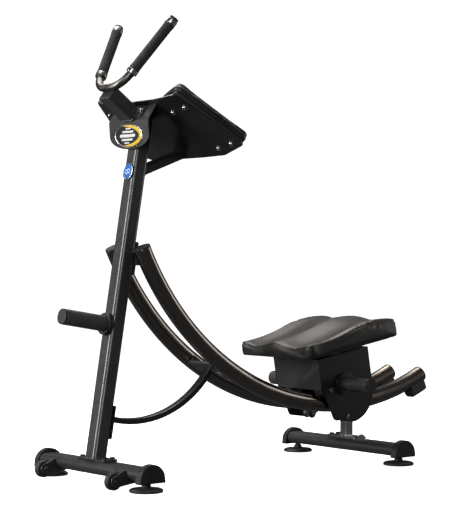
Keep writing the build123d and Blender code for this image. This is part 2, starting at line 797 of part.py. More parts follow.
with BuildPart() as badge_face:
    with BuildSketch(badge_plane):
        with Locations((0, -badge_face_height / 2 - 2)):
            Ellipse(oval_half_width, oval_half_height)
    extrude(amount=oval_thick)
badge_face.part.label = "badge_face"
export_step(badge_face.part, "parts/badge_face.step")

with BuildPart() as round_emblem:
    with BuildSketch(upright_plane(emblem_z, upright_depth / 2)):
        Circle(emblem_radius)
    extrude(amount=emblem_thick)
    fillet(round_emblem.edges().sort_by(Axis.X)[0], radius=1.5)
round_emblem.part.label = "round_emblem"
export_step(round_emblem.part, "parts/round_emblem.step")

# ---------------------------------------------------------------- handle stem
stem_angle = radians(stem_slope)
stem_dir = Vector(-cos(stem_angle), 0, sin(stem_angle))
stem_normal = Vector(sin(stem_angle), 0, cos(stem_angle))
stem_tip = Vector(front_x + stem_tip_reach, 0, stem_tip_z) + stem_dir * stem_over
stem_plane = Plane(origin=stem_tip, x_dir=(0, 1, 0), z_dir=stem_dir * -1)
flange_face = flap_plane.offset(stem_flange_thick)
u_dir = Vector(sin(radians(u_lean)), 0, cos(radians(u_lean)))
u_plane = Plane(
    origin=(front_x + u_reach, 0, u_z), x_dir=(0, 1, 0), z_dir=Vector(0, 1, 0).cross(u_dir)
)
# ---------------------------------------------------------------- handle bar and grips
turn = radians(u_turn)
arm_start_y = u_half_flat + u_bend_radius * sin(turn)
arm_start_v = u_bend_radius * (1 - cos(turn))
arm_length = collar_length + grip_length + ring_length
arm_end_y = arm_start_y + arm_length * cos(turn)
arm_end_v = arm_start_v + arm_length * sin(turn)
bend_mid_y = u_half_flat + u_bend_radius * sin(turn / 2)
bend_mid_v = u_bend_radius * (1 - cos(turn / 2))

with BuildPart() as handle_bar:
    with BuildLine(u_plane) as u_path:
        Line((arm_end_y, arm_end_v), (arm_start_y, arm_start_v))
        ThreePointArc((arm_start_y, arm_start_v), (bend_mid_y, bend_mid_v), (u_half_flat, 0))
        Line((u_half_flat, 0), (-u_half_flat, 0))
        ThreePointArc((-u_half_flat, 0), (-bend_mid_y, bend_mid_v), (-arm_start_y, arm_start_v))
        Line((-arm_start_y, arm_start_v), (-arm_end_y, arm_end_v))
    with BuildSketch(Plane(origin=u_path.line @ 0, z_dir=u_path.line % 0)):
        Circle(u_tube_radius)
        Circle(u_tube_radius - u_wall, mode=Mode.SUBTRACT)
    sweep(path=u_path.line)
handle_bar.part.label = "handle_bar"
export_step(handle_bar.part, "parts/handle_bar.step")

flange_center_up = 33       # middle of the flange above the badge plate's top edge
with BuildPart() as handle_stem:
    with BuildSketch(stem_plane):
        RectangleRounded(stem_width, stem_depth, 6)
        RectangleRounded(stem_width - 2 * stem_wall, stem_depth - 2 * stem_wall, 3, mode=Mode.SUBTRACT)
    extrude(amount=160)
    with BuildSketch(stem_plane):
        RectangleRounded(stem_width, stem_depth, 6)
    extrude(amount=stem_wall)
    split(bisect_by=flange_face, keep=Keep.TOP)
    with BuildLine(u_plane) as cope_path:
        ThreePointArc((arm_start_y, arm_start_v), (bend_mid_y, bend_mid_v), (u_half_flat, 0))
        Line((u_half_flat, 0), (-u_half_flat, 0))
        ThreePointArc((-u_half_flat, 0), (-bend_mid_y, bend_mid_v), (-arm_start_y, arm_start_v))
    with BuildSketch(Plane(origin=cope_path.line @ 0, z_dir=cope_path.line % 0)):
        Circle(u_tube_radius)
    sweep(path=cope_path.line, mode=Mode.SUBTRACT)
    with BuildSketch(flap_plane):
        with Locations((0, flange_center_up)):
            RectangleRounded(stem_flange_y, stem_flange_height, 6)
    extrude(amount=stem_flange_thick)
handle_stem.part.label = "handle_stem"
export_step(handle_stem.part, "parts/handle_stem.step")


def arm_plane(side, along):
    """Plane square to a handle arm, this far above the end of its bend."""
    out = Vector(0, side, 0)
    start = Vector(front_x + u_reach, 0, u_z) + out * arm_start_y + u_dir * arm_start_v
    direction = out * cos(turn) + u_dir * sin(turn)
    return Plane(origin=start + direction * along, x_dir=u_plane.z_dir, z_dir=direction)


for grip_name, side in (("grip_left", 1), ("grip_right", -1)):
    with BuildPart() as grip:
        with BuildSketch(arm_plane(side, collar_length)):
            Circle(grip_radius)
            Circle(u_tube_radius, mode=Mode.SUBTRACT)
        extrude(amount=grip_length)
    grip.part.label = grip_name
    export_step(grip.part, f"parts/{grip_name}.step")

with BuildPart() as grip_rings:
    for side in (1, -1):
        for along, radius, length in (
            (0, collar_radius, collar_length),
            (collar_length + grip_length, ring_radius, ring_length),
        ):
            with BuildSketch(arm_plane(side, along)):
                Circle(radius)
                Circle(u_tube_radius, mode=Mode.SUBTRACT)
            extrude(amount=length)
grip_rings.part.label = "grip_rings"
export_step(grip_rings.part, "parts/grip_rings.step")

with BuildPart() as handle_end_plugs:
    for side in (1, -1):
        with BuildSketch(arm_plane(side, arm_length)):
            Circle(plug_radius)
        extrude(amount=plug_length)
        with BuildSketch(arm_plane(side, arm_length)):
            Circle(u_tube_radius - u_wall)
        extrude(amount=-15)
handle_end_plugs.part.label = "handle_end_plugs"
export_step(handle_end_plugs.part, "parts/handle_end_plugs.step")

# ---------------------------------------------------------------- carriage
tilt = radians(carriage_tilt)
carriage_x = front_x + carriage_reach
carriage_ex = Vector(cos(tilt), 0, sin(tilt))
carriage_ez = Vector(-sin(tilt), 0, cos(tilt))


def carriage_top(height):
    """Plane parallel to the carriage's top, this far above it: x to the rear, y is +Y."""
    origin = Vector(carriage_x, 0, carriage_top_z) + carriage_ez * height
    return Plane(origin=origin, x_dir=carriage_ex, z_dir=carriage_ez)


def carriage_side(y):
    """Plane parallel to the carriage's sides at a Y: x to the rear, y up, z is -Y."""
    return Plane(origin=(carriage_x, y, carriage_top_z), x_dir=carriage_ex, z_dir=(0, -1, 0))


def axle_place(angle, radius):
    """World X and Z of an axle at a rail angle, this far from the arc's centre."""
    a = radians(angle)
    return arc_x + radius * sin(a), arc_height - radius * cos(a)


upper_center = arc_radius - rail_radius - roller_gap - upper_roller_radius
lower_center = arc_radius + rail_radius + roller_gap + lower_roller_radius
axle_places = [
    axle_place(-upper_roller_angle, upper_center),
    axle_place(upper_roller_angle, upper_center),
    axle_place(0, lower_center),
]
plate_inner_y = carriage_half_width - carriage_sheet

with BuildPart() as carriage_plate_right:
    with BuildSketch(carriage_side(-plate_inner_y)) as side_outline:
        with BuildLine():
            Polyline(
                (10, -carriage_height),
                (carriage_taper - carriage_front, -carriage_taper_end),
                (-carriage_front, -carriage_straight),
                (-carriage_front, 0),
                (carriage_rear, 0),
                (carriage_rear, -carriage_height + 100),
            )
            ThreePointArc(
                (carriage_rear, -carriage_height + 100),
                (carriage_rear - 30, -carriage_height + 30),
                (10, -carriage_height),
            )
        make_face()
        lower_front = side_outline.vertices().sort_by_distance((carriage_taper - carriage_front, -carriage_taper_end))
        fillet(lower_front[0], radius=carriage_corner)
    extrude(amount=carriage_sheet)
    for axle_x, axle_z in axle_places:
        with BuildSketch(Plane(origin=(axle_x, 0, axle_z), x_dir=(1, 0, 0), z_dir=(0, -1, 0))):
            Circle(axle_radius)
        extrude(amount=carriage_half_width + 1, mode=Mode.SUBTRACT)
carriage_plate_right.part.label = "carriage_plate_right"
export_step(carriage_plate_right.part, "parts/carriage_plate_right.step")
with BuildPart() as carriage_plate_left:
    mirror(carriage_plate_right.part, about=Plane.XZ)
carriage_plate_left.part.label = "carriage_plate_left"
export_step(carriage_plate_left.part, "parts/carriage_plate_left.step")

cover_length = carriage_front + carriage_rear
cover_middle = (carriage_rear - carriage_front) / 2
with BuildPart() as carriage_cover:
    with BuildSketch(carriage_side(-plate_inner_y)):
        with Locations((cover_middle, -cover_drop / 2)):
            Rectangle(cover_length, cover_drop)
        with Locations((cover_middle, -cover_sheet - cover_drop / 2)):
            Rectangle(cover_length - 2 * cover_sheet, cover_drop, mode=Mode.SUBTRACT)
    extrude(amount=-2 * plate_inner_y)
carriage_cover.part.label = "carriage_cover"
export_step(carriage_cover.part, "parts/carriage_cover.step")

axle_shoulder_radius = 9
with BuildPart() as roller_axles:
    for (axle_x, axle_z), width in zip(axle_places, (upper_roller_width, upper_roller_width, lower_roller_width)):
        journal_inner = rail_y - width / 2 - 0.5
        journal_outer = rail_y + width / 2 + 0.5
        with BuildSketch(Plane(origin=(axle_x, 0, axle_z), x_dir=(0, 1, 0), z_dir=(1, 0, 0))):
            with BuildLine():
                Polyline(
                    (journal_inner - 7, 0),
                    (journal_inner - 7, axle_shoulder_radius),
                    (journal_inner, axle_shoulder_radius),
                    (journal_inner, axle_radius),
                    (journal_outer, axle_radius),
                    (journal_outer, axle_shoulder_radius),
                    (plate_inner_y, axle_shoulder_radius),
                    (plate_inner_y, axle_radius),
                    (carriage_half_width, axle_radius),
                    (carriage_half_width, axle_head_radius),
                    (carriage_half_width + 3, axle_head_radius),
                    (carriage_half_width + 5, axle_head_radius - 3),
                    (carriage_half_width + 5, 0),
                    close=True,
                )
            make_face()
        revolve(axis=Axis((axle_x, 0, axle_z), (0, 1, 0)))
    mirror(about=Plane.XZ)
roller_axles.part.label = "roller_axles"
export_step(roller_axles.part, "parts/roller_axles.step")

groove_radius = rail_radius + roller_gap
roller_names = ("upper_roller_front", "upper_roller_rear", "lower_roller")
roller_sizes = (
    (upper_roller_radius, upper_roller_width),
    (upper_roller_radius, upper_roller_width),
    (lower_roller_radius, lower_roller_width),
)
for side_name, side in (("left", 1), ("right", -1)):
    for roller_name, (radius, width), (axle_x, axle_z) in zip(roller_names, roller_sizes, axle_places):
        edge = radius + groove_radius - sqrt(groove_radius**2 - (width / 2 - 2) ** 2)
        with BuildPart() as roller:
            with BuildSketch(Plane(origin=(axle_x, side * rail_y, axle_z), x_dir=(0, 1, 0), z_dir=(1, 0, 0))):
                with BuildLine():
                    Polyline(
                        (width / 2 - 2, edge),
                        (width / 2, edge - 1),
                        (width / 2, axle_radius + axle_fit),
                        (-width / 2, axle_radius + axle_fit),
                        (-width / 2, edge - 1),
                        (-width / 2 + 2, edge),
                    )
                    ThreePointArc((-width / 2 + 2, edge), (0, radius), (width / 2 - 2, edge))
                make_face()
            revolve(axis=Axis((axle_x, 0, axle_z), (0, 1, 0)))
        roller.part.label = f"{roller_name}_{side_name}"
        export_step(roller.part, f"parts/{roller_name}_{side_name}.step")

horn_origin = (
    Vector(carriage_x, 0, carriage_top_z)
    + carriage_ex * carriage_horn_local_x
    - carriage_ez * carriage_horn_drop
)


def horn_plane(y):
    """Plane square to the carriage's plate posts at a Y, facing +Y."""
    return Plane(origin=(horn_origin.X, y, horn_origin.Z), x_dir=(-1, 0, 0), z_dir=(0, 1, 0))


with BuildPart() as carriage_posts:
    with BuildSketch(horn_plane(carriage_half_width)):
        Circle(carriage_horn_radius - horn_shank_step)
        Circle(carriage_horn_radius - horn_wall, mode=Mode.SUBTRACT)
    extrude(amount=carriage_collar_thick)
    with BuildSketch(horn_plane(carriage_half_width + carriage_collar_thick)):
        Circle(carriage_horn_radius)
        Circle(carriage_horn_radius - horn_wall, mode=Mode.SUBTRACT)
    extrude(amount=carriage_horn_end_y - carriage_half_width - carriage_collar_thick)
    mirror(about=Plane.XZ)
carriage_posts.part.label = "carriage_posts"
export_step(carriage_posts.part, "parts/carriage_posts.step")

with BuildPart() as post_collars:
    with BuildSketch(horn_plane(carriage_half_width)):
        Circle(carriage_collar_radius)
        Circle(carriage_horn_radius - horn_shank_step, mode=Mode.SUBTRACT)
    extrude(amount=carriage_collar_thick)
    mirror(about=Plane.XZ)
post_collars.part.label = "post_collars"
export_step(post_collars.part, "parts/post_collars.step")

with BuildPart() as post_end_caps:
    with BuildSketch(horn_plane(carriage_horn_end_y)):
        Circle(carriage_horn_radius - horn_cap_inset)
    extrude(amount=horn_cap_thick)
    with BuildSketch(horn_plane(carriage_horn_end_y)):
        Circle(carriage_horn_radius - horn_wall)
    extrude(amount=-12)
    mirror(about=Plane.XZ)
post_end_caps.part.label = "post_end_caps"
export_step(post_end_caps.part, "parts/post_end_caps.step")

# ---------------------------------------------------------------- seat swivel and seat
with BuildPart() as swivel_base:
    with BuildSketch(carriage_top(0)):
        Circle(swivel_radius)
        Circle(swivel_boss_radius + swivel_fit, mode=Mode.SUBTRACT)
    extrude(amount=swivel_thick)
swivel_base.part.label = "swivel_base"
export_step(swivel_base.part, "parts/swivel_base.step")

swivel_top_height = swivel_thick + swivel_gap
with BuildPart() as swivel_top:
    with BuildSketch(carriage_top(swivel_top_height)):
        Circle(swivel_radius)
    extrude(amount=swivel_thick)
    with BuildSketch(carriage_top(0.5)):
        Circle(swivel_boss_radius)
    extrude(amount=swivel_top_height)
swivel_top.part.label = "swivel_top"
export_step(swivel_top.part, "parts/swivel_top.step")

board_height = swivel_top_height + swivel_thick
seat_length = seat_front + seat_rear
seat_middle = (seat_rear - seat_front) / 2
with BuildPart() as seat_board:
    with BuildSketch(carriage_top(board_height)):
        with Locations((seat_middle, 0)):
            RectangleRounded(
                seat_length - 2 * seat_board_margin, seat_width - 2 * seat_board_margin, seat_corner - 12
            )
    extrude(amount=seat_board_thick)
seat_board.part.label = "seat_board"
export_step(seat_board.part, "parts/seat_board.step")

# side view of the cushion: distance behind the swivel axis and height above its underside
seat_profile = (
    (-seat_front, 46),
    (-150, 46),
    (-73, 51),
    (0, 62),
    (60, 73),
    (105, 75.5),
    (160, 70),
    (seat_rear, 61),
)
seat_side = carriage_side(-seat_width / 2)
with BuildPart() as seat_pad:
    with BuildSketch(seat_side):
        with BuildLine():
            Spline(*[(x, seat_rise + h) for x, h in seat_profile])
            Polyline(
                (seat_rear, seat_rise + seat_profile[-1][1]),
                (seat_rear, seat_rise),
                (-seat_front, seat_rise),
                (-seat_front, seat_rise + seat_profile[0][1]),
            )
        make_face()
    extrude(amount=-seat_width)
    corners = seat_pad.edges().filter_by(Axis((0, 0, 0), carriage_ez))
    fillet(corners, radius=seat_corner)
    with BuildSketch(carriage_top(seat_rise)):
        with Locations((seat_middle, 0)):
            RectangleRounded(
                seat_length - 2 * seat_board_margin, seat_width - 2 * seat_board_margin, seat_corner - 12
            )
    extrude(amount=board_height + seat_board_thick - seat_rise, mode=Mode.SUBTRACT)
seat_pad.part.label = "seat_pad"
export_step(seat_pad.part, "parts/seat_pad.step")

# ---------------------------------------------------------------- fasteners on the frame
hex_radius = nut_flats / 2 / cos(radians(30))
bolt_hex_radius = 9
bolt_head_height = 6
plate_corners = [(x * base_bolt_x, y * base_bolt_y) for x in (1, -1) for y in (1, -1)]
face_bolt_places = [(0, face_plate_height / 2 - 14), (0, -face_plate_height / 2 + 14)]
bolt_faces = []
for bar_x in (front_x, rear_x):
    plate_top = Plane(origin=(bar_x, 0, base_plate_top))
    bolt_faces.append((plate_top, plate_corners, base_plate_thick))
for bracket_z in (top_bracket_z, brace_low_z + 8):
    rear_face = upright_plane(bracket_z, rear_face_offset - face_plate_thick)
    head_face = Plane(origin=rear_face.origin, x_dir=rear_face.x_dir * -1, z_dir=rear_face.z_dir * -1)
    bolt_faces.append((head_face, face_bolt_places, face_plate_thick))
with BuildPart() as frame_bolts:
    for bolt_face, bolt_places, shank in bolt_faces:
        with BuildSketch(bolt_face):
            with Locations(*bolt_places):
                RegularPolygon(radius=bolt_hex_radius, side_count=6)
        extrude(amount=bolt_head_height)
        with BuildSketch(bolt_face):
            with Locations(*bolt_places):
                Circle(5)
        extrude(amount=-shank)
frame_bolts.part.label = "frame_bolts"
export_step(frame_bolts.part, "parts/frame_bolts.step")

with BuildPart() as foot_nuts:
    for bar_x in (front_x, rear_x):
        with BuildSketch(Plane(origin=(bar_x, 0, nut_bottom_z))):
            with Locations((0, foot_y), (0, -foot_y)):
                RegularPolygon(radius=hex_radius, side_count=6)
                Circle(foot_stud_radius + axle_fit, mode=Mode.SUBTRACT)
        extrude(amount=nut_height)
foot_nuts.part.label = "foot_nuts"
export_step(foot_nuts.part, "parts/foot_nuts.step")

stem_bolt_places = [
    (side * stem_bolt_y, flange_center_up + step * stem_bolt_rise) for side in (1, -1) for step in (1, -1)
]
with BuildPart() as stem_bolts:
    with BuildSketch(flap_plane.offset(stem_flange_thick)):
        with Locations(*stem_bolt_places):
            Circle(6.5)
    extrude(amount=5)
stem_bolts.part.label = "stem_bolts"
export_step(stem_bolts.part, "parts/stem_bolts.step")
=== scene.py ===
import json
import math

import bpy
import numpy as np
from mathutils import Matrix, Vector


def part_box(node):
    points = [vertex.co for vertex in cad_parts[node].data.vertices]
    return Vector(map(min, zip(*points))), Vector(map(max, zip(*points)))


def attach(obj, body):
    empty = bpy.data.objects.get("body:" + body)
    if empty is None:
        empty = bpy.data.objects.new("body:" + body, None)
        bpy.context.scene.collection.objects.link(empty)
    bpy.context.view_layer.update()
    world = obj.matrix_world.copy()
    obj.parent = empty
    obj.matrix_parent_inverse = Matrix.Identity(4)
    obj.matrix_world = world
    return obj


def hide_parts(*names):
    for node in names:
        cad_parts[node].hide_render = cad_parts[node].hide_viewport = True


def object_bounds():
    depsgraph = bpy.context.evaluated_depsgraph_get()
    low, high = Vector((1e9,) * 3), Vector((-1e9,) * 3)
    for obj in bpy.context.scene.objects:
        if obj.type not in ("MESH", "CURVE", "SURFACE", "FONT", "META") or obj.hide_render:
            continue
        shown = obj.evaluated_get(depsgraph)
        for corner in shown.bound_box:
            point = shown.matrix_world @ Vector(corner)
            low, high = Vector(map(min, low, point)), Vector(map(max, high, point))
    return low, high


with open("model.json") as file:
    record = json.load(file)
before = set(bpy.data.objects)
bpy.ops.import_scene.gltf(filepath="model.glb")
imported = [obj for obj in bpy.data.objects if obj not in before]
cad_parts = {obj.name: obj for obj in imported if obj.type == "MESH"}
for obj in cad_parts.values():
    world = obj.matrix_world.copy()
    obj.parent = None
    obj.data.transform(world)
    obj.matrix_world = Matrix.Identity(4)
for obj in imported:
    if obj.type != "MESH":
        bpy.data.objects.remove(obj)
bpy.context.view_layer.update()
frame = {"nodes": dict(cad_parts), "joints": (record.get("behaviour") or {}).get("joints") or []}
nodes = frame["nodes"]
print("frame loaded:", len(nodes), "nodes")


# places read from the frame

def middle(node):
    low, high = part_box(node)
    return (low + high) / 2


def nodePoints(node):
    mesh = nodes[node].data
    co = np.zeros(len(mesh.vertices) * 3, np.float32)
    mesh.vertices.foreach_get("co", co)
    return co.reshape(-1, 3).astype(float)


def joint(name):
    return next(j for j in frame["joints"] if j["name"] == name)


frontX = middle("front_foot_bar").x
rearX = middle("rear_foot_bar").x
arcPlace = joint("carriage_roll")["pos_m"]
arcCentre = np.array([arcPlace[0], 0.0, arcPlace[2]])
seatAxis = np.array(joint("seat_swivel")["axis"], float)
seatAxis /= np.linalg.norm(seatAxis)
seatAlong = np.array([seatAxis[2], 0.0, -seatAxis[0]])    # towards the rear, square to the swivel axis
sideways = np.array([0.0, 1.0, 0.0])


# camera, floor and lights

cameraSet = {
    "place": (-2.9805, -4.3843, 0.7125),   # from the middle of the front foot bar
    "look": (0.62838618, 0.77789492, -0.00320963),
    "lens": 117.89,
    "shift": (-0.0024, -0.0002),
}


def addCamera():
    data = bpy.data.cameras.new("viewCamera")
    data.lens = cameraSet["lens"]
    data.shift_x, data.shift_y = cameraSet["shift"]
    data.clip_end = 60
    cam = bpy.data.objects.new("viewCamera", data)
    cam.location = Vector(cameraSet["place"]) + Vector((frontX, 0, 0))
    cam.rotation_euler = Vector(cameraSet["look"]).to_track_quat("-Z", "Y").to_euler()
    bpy.context.scene.collection.objects.link(cam)
    bpy.context.scene.camera = cam


lightSet = {
    # name: (place, aimed at, size, size along Y or up, power in watts, warmth)
    "overhead": ((0.3, 0.9, 3.4), (0.1, 0, 0.5), 2.6, 2.6, 150, (1.0, 0.93, 0.86)),
    "leftPanel": ((-3.4, 1.3, 1.5), (0, 0, 0.8), 0.9, 2.4, 118, (1.0, 0.99, 0.98)),
    "nearStrip": ((-2.9, -2.2, 1.5), (0, 0, 0.7), 0.35, 2.6, 42, (1.0, 1.0, 1.0)),
    "rightFill": ((2.9, -1.4, 1.2), (0.3, 0, 0.4), 1.2, 1.8, 16, (1.0, 0.97, 0.93)),
}


def addLights():
    for name, (place, target, width, height, power, tint) in lightSet.items():
        data = bpy.data.lights.new(name, "AREA")
        data.shape = "RECTANGLE"
        data.size, data.size_y = width, height
        data.energy = power
        data.color = tint
        lamp = bpy.data.objects.new(name, data)
        lamp.location = place
        lamp.rotation_euler = (Vector(target) - Vector(place)).to_track_quat("-Z", "Y").to_euler()
        bpy.context.scene.collection.objects.link(lamp)


def addWorld():
    world = bpy.data.worlds.new("studioAir")
    world.use_nodes = True
    world.node_tree.nodes["Background"].inputs["Color"].default_value = (0.93, 0.95, 1.0, 1)
    world.node_tree.nodes["Background"].inputs["Strength"].default_value = 0.07
    bpy.context.scene.world = world
    bpy.context.scene.view_settings.view_transform = "Standard"


# meshes from grids

def gridFaces(rows, cols, wrapRows=False, wrapCols=False):
    # quads of a rows x cols grid of points, row by row
    r = np.arange(rows if wrapRows else rows - 1)
    c = np.arange(cols if wrapCols else cols - 1)
    r, c = np.meshgrid(r, c, indexing="ij")
    r2, c2 = (r + 1) % rows, (c + 1) % cols
    quads = np.stack([r * cols + c, r2 * cols + c, r2 * cols + c2, r * cols + c2], -1)
    return quads.reshape(-1, 4)


def makeMesh(name, points, faces, material, body, smooth=True):
    mesh = bpy.data.meshes.new(name)
    mesh.from_pydata(np.asarray(points).reshape(-1, 3).tolist(), [], [list(map(int, f)) for f in faces])
    mesh.update()
    if smooth:
        mesh.polygons.foreach_set("use_smooth", np.ones(len(mesh.polygons), bool))
    piece = bpy.data.objects.new(name, mesh)
    bpy.context.scene.collection.objects.link(piece)
    mesh.materials.append(material)
    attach(piece, body)
    return piece


def outward(piece):
    # merges doubled points and turns every face outwards
    import bmesh
    work = bmesh.new()
    work.from_mesh(piece.data)
    bmesh.ops.remove_doubles(work, verts=work.verts, dist=1e-6)
    bmesh.ops.recalc_face_normals(work, faces=work.faces)
    work.to_mesh(piece.data)
    work.free()
    piece.data.update()


def turned(profile, start, direction, turns=48):
    # a closed profile of (distance along, radius) carried round an axis: point(i, t) =
    # start + along_i * axis + radius_i * (u cos t + v sin t)
    axis = np.array(direction, float) / np.linalg.norm(direction)
    helper = np.array([0.0, 0.0, 1.0]) if abs(axis[2]) < 0.9 else np.array([1.0, 0.0, 0.0])
    u = np.cross(axis, helper)
    u /= np.linalg.norm(u)
    v = np.cross(axis, u)
    profile = np.asarray(profile, float)
    t = np.linspace(0, 2 * np.pi, turns, endpoint=False)
    ring = np.cos(t)[:, None] * u + np.sin(t)[:, None] * v
    points = np.array(start, float) + profile[:, 0, None, None] * axis + profile[:, 1, None, None] * ring
    return points, gridFaces(len(profile), turns, False, True)


# node materials

def newMaterial(name, colour, roughness, metallic=0.0, **extra):
    material = bpy.data.materials.new(name)
    material.use_nodes = True
    shader = material.node_tree.nodes["Principled BSDF"]
    shader.inputs["Base Color"].default_value = (*colour, 1)
    shader.inputs["Roughness"].default_value = roughness
    shader.inputs["Metallic"].default_value = metallic
    for key, value in extra.items():
        shader.inputs[key.replace("_", " ")].default_value = value
    return material


def addNode(material, kind, **values):
    node = material.node_tree.nodes.new(kind)
    for key, value in values.items():
        setattr(node, key, value)
    return node


def join(material, out, into):
    material.node_tree.links.new(out, into)


def objectCoords(material, place=(0, 0, 0), turn=(0, 0, 0), scale=(1, 1, 1)):
    coords = addNode(material, "ShaderNodeTexCoord")
    mapping = addNode(material, "ShaderNodeMapping", vector_type="POINT")
    mapping.inputs["Location"].default_value = place
    mapping.inputs["Rotation"].default_value = turn
    mapping.inputs["Scale"].default_value = scale
    join(material, coords.outputs["Object"], mapping.inputs["Vector"])
    return mapping.outputs["Vector"]


def noise(material, vector, scale, detail=3.0, rough=0.55):
    tex = addNode(material, "ShaderNodeTexNoise")
    tex.inputs["Scale"].default_value = scale
    tex.inputs["Detail"].default_value = detail
    tex.inputs["Roughness"].default_value = rough
    join(material, vector, tex.inputs["Vector"])
    return tex.outputs["Fac"]


def spread(material, value, fromLow, fromHigh, toLow, toHigh):
    node = addNode(material, "ShaderNodeMapRange")
    for key, number in (("From Min", fromLow), ("From Max", fromHigh), ("To Min", toLow), ("To Max", toHigh)):
        node.inputs[key].default_value = number
    join(material, value, node.inputs["Value"])
    return node.outputs["Result"]


def sums(material, kind, a, b=None):
    node = addNode(material, "ShaderNodeMath", operation=kind)
    for socket, value in zip(node.inputs, (a, b)):
        if value is None:
            continue
        if isinstance(value, (int, float)):
            socket.default_value = value
        else:
            join(material, value, socket)
    return node.outputs["Value"]


def blendColours(material, mask, colourA, colourB):
    ramp = addNode(material, "ShaderNodeMix", data_type="RGBA")
    ramp.inputs["A"].default_value = (*colourA, 1)
    ramp.inputs["B"].default_value = (*colourB, 1)
    join(material, mask, ramp.inputs["Factor"])
    return ramp.outputs["Result"]


def bump(material, height, strength, distance):
    node = addNode(material, "ShaderNodeBump")
    node.inputs["Strength"].default_value = strength
    node.inputs["Distance"].default_value = distance
    join(material, height, node.inputs["Height"])
    join(material, node.outputs["Normal"], shaderOf(material).inputs["Normal"])


def shaderOf(material):
    return material.node_tree.nodes["Principled BSDF"]


paintSet = {"dark": (0.034, 0.034, 0.0355), "light": (0.050, 0.050, 0.052), "grain": 700.0}


def powderCoat(name="powderCoat", dark=paintSet["dark"], light=paintSet["light"], rough=(0.30, 0.42)):
    # fine orange-peel grain, soft cloudy tone and a little dust in the roughness
    m = newMaterial(name, dark, 0.36, 0.25, Coat_Weight=0.5, Coat_Roughness=0.18)
    coords = objectCoords(m)
    cloud = noise(m, coords, 9.0, 4.0)
    fine = noise(m, coords, paintSet["grain"], 2.0)
    join(m, blendColours(m, spread(m, cloud, 0.35, 0.68, 0, 1), dark, light),
         shaderOf(m).inputs["Base Color"])
    join(m, spread(m, noise(m, coords, 60.0, 3.0), 0.3, 0.7, *rough), shaderOf(m).inputs["Roughness"])
    bump(m, fine, 0.10, 0.0006)
    return m


railSet = {"tone": (0.21, 0.190, 0.172), "worn": (0.36, 0.325, 0.295), "tube": 0.0275}


def railMetal():
    # dark polished nickel with brighter tracks where the rollers run: r is the distance from the
    # centre of the rails' arc, so a track is where r is a tube's radius off the centre line
    m = newMaterial("darkNickel", railSet["tone"], 0.17, 1.0)
    coords = objectCoords(m, place=tuple(-arcCentre))
    split = addNode(m, "ShaderNodeSeparateXYZ")
    join(m, coords, split.inputs["Vector"])
    x2 = sums(m, "MULTIPLY", split.outputs["X"], split.outputs["X"])
    z2 = sums(m, "MULTIPLY", split.outputs["Z"], split.outputs["Z"])
    radius = sums(m, "SQRT", sums(m, "ADD", x2, z2))
    railPoints = nodePoints("rail_left")
    spans = np.hypot(railPoints[:, 0] - arcCentre[0], railPoints[:, 2] - arcCentre[2])
    centreLine = (spans.min() + spans.max()) / 2
    away = sums(m, "ABSOLUTE", sums(m, "SUBTRACT", radius, float(centreLine)))
    track = spread(m, away, railSet["tube"] * 0.90, railSet["tube"] * 0.985, 0, 1)
    angle = sums(m, "ARCTAN2", split.outputs["X"], split.outputs["Z"])
    sweepCoords = addNode(m, "ShaderNodeCombineXYZ")
    join(m, sums(m, "MULTIPLY", angle, 3.0), sweepCoords.inputs["X"])
    join(m, sums(m, "MULTIPLY", radius, 240.0), sweepCoords.inputs["Y"])
    join(m, sums(m, "MULTIPLY", split.outputs["Y"], 240.0), sweepCoords.inputs["Z"])
    streak = noise(m, sweepCoords.outputs["Vector"], 1.0, 4.0)
    cloud = noise(m, coords, 14.0, 3.0)
    mask = sums(m, "MULTIPLY", track, spread(m, streak, 0.3, 0.7, 0.3, 1.0))
    join(m, blendColours(m, mask, railSet["tone"], railSet["worn"]), shaderOf(m).inputs["Base Color"])
    shine = sums(m, "ADD", spread(m, cloud, 0.3, 0.7, 0.19, 0.23), spread(m, streak, 0.2, 0.8, -0.01, 0.01))
    join(m, shine, shaderOf(m).inputs["Roughness"])
    bump(m, streak, 0.008, 0.0002)
    return m


def brightSteel(name, tone, rough, grain=260.0):
    # bright plated steel: cloudy roughness and a fine machining grain
    m = newMaterial(name, tone, rough, 1.0)
    coords = objectCoords(m)
    cloud = noise(m, coords, 40.0, 4.0)
    join(m, spread(m, cloud, 0.3, 0.7, rough * 0.7, rough * 1.35), shaderOf(m).inputs["Roughness"])
    darker = tuple(c * 0.86 for c in tone)
    join(m, blendColours(m, spread(m, noise(m, coords, 120.0), 0.35, 0.65, 0, 1), tone, darker),
         shaderOf(m).inputs["Base Color"])
    bump(m, noise(m, coords, grain, 2.0), 0.05, 0.0003)
    return m


def mouldedPlastic(name, tone, rough, grain=1500.0, strength=0.18):
    # moulded plastic with a spark-eroded grain and slight handling marks
    m = newMaterial(name, tone, rough)
    coords = objectCoords(m)
    marks = noise(m, coords, 35.0, 5.0, 0.65)
    join(m, spread(m, marks, 0.35, 0.7, rough - 0.07, rough + 0.08), shaderOf(m).inputs["Roughness"])
    lighter = tuple(c * 1.5 + 0.004 for c in tone)
    join(m, blendColours(m, spread(m, marks, 0.45, 0.75, 0, 1), tone, lighter),
         shaderOf(m).inputs["Base Color"])
    bump(m, noise(m, coords, grain, 2.0), strength, 0.0003)
    return m


leatherSet = {"base": (0.0075, 0.0070, 0.0066), "worn": (0.0150, 0.0135, 0.0122), "pebble": 520.0}


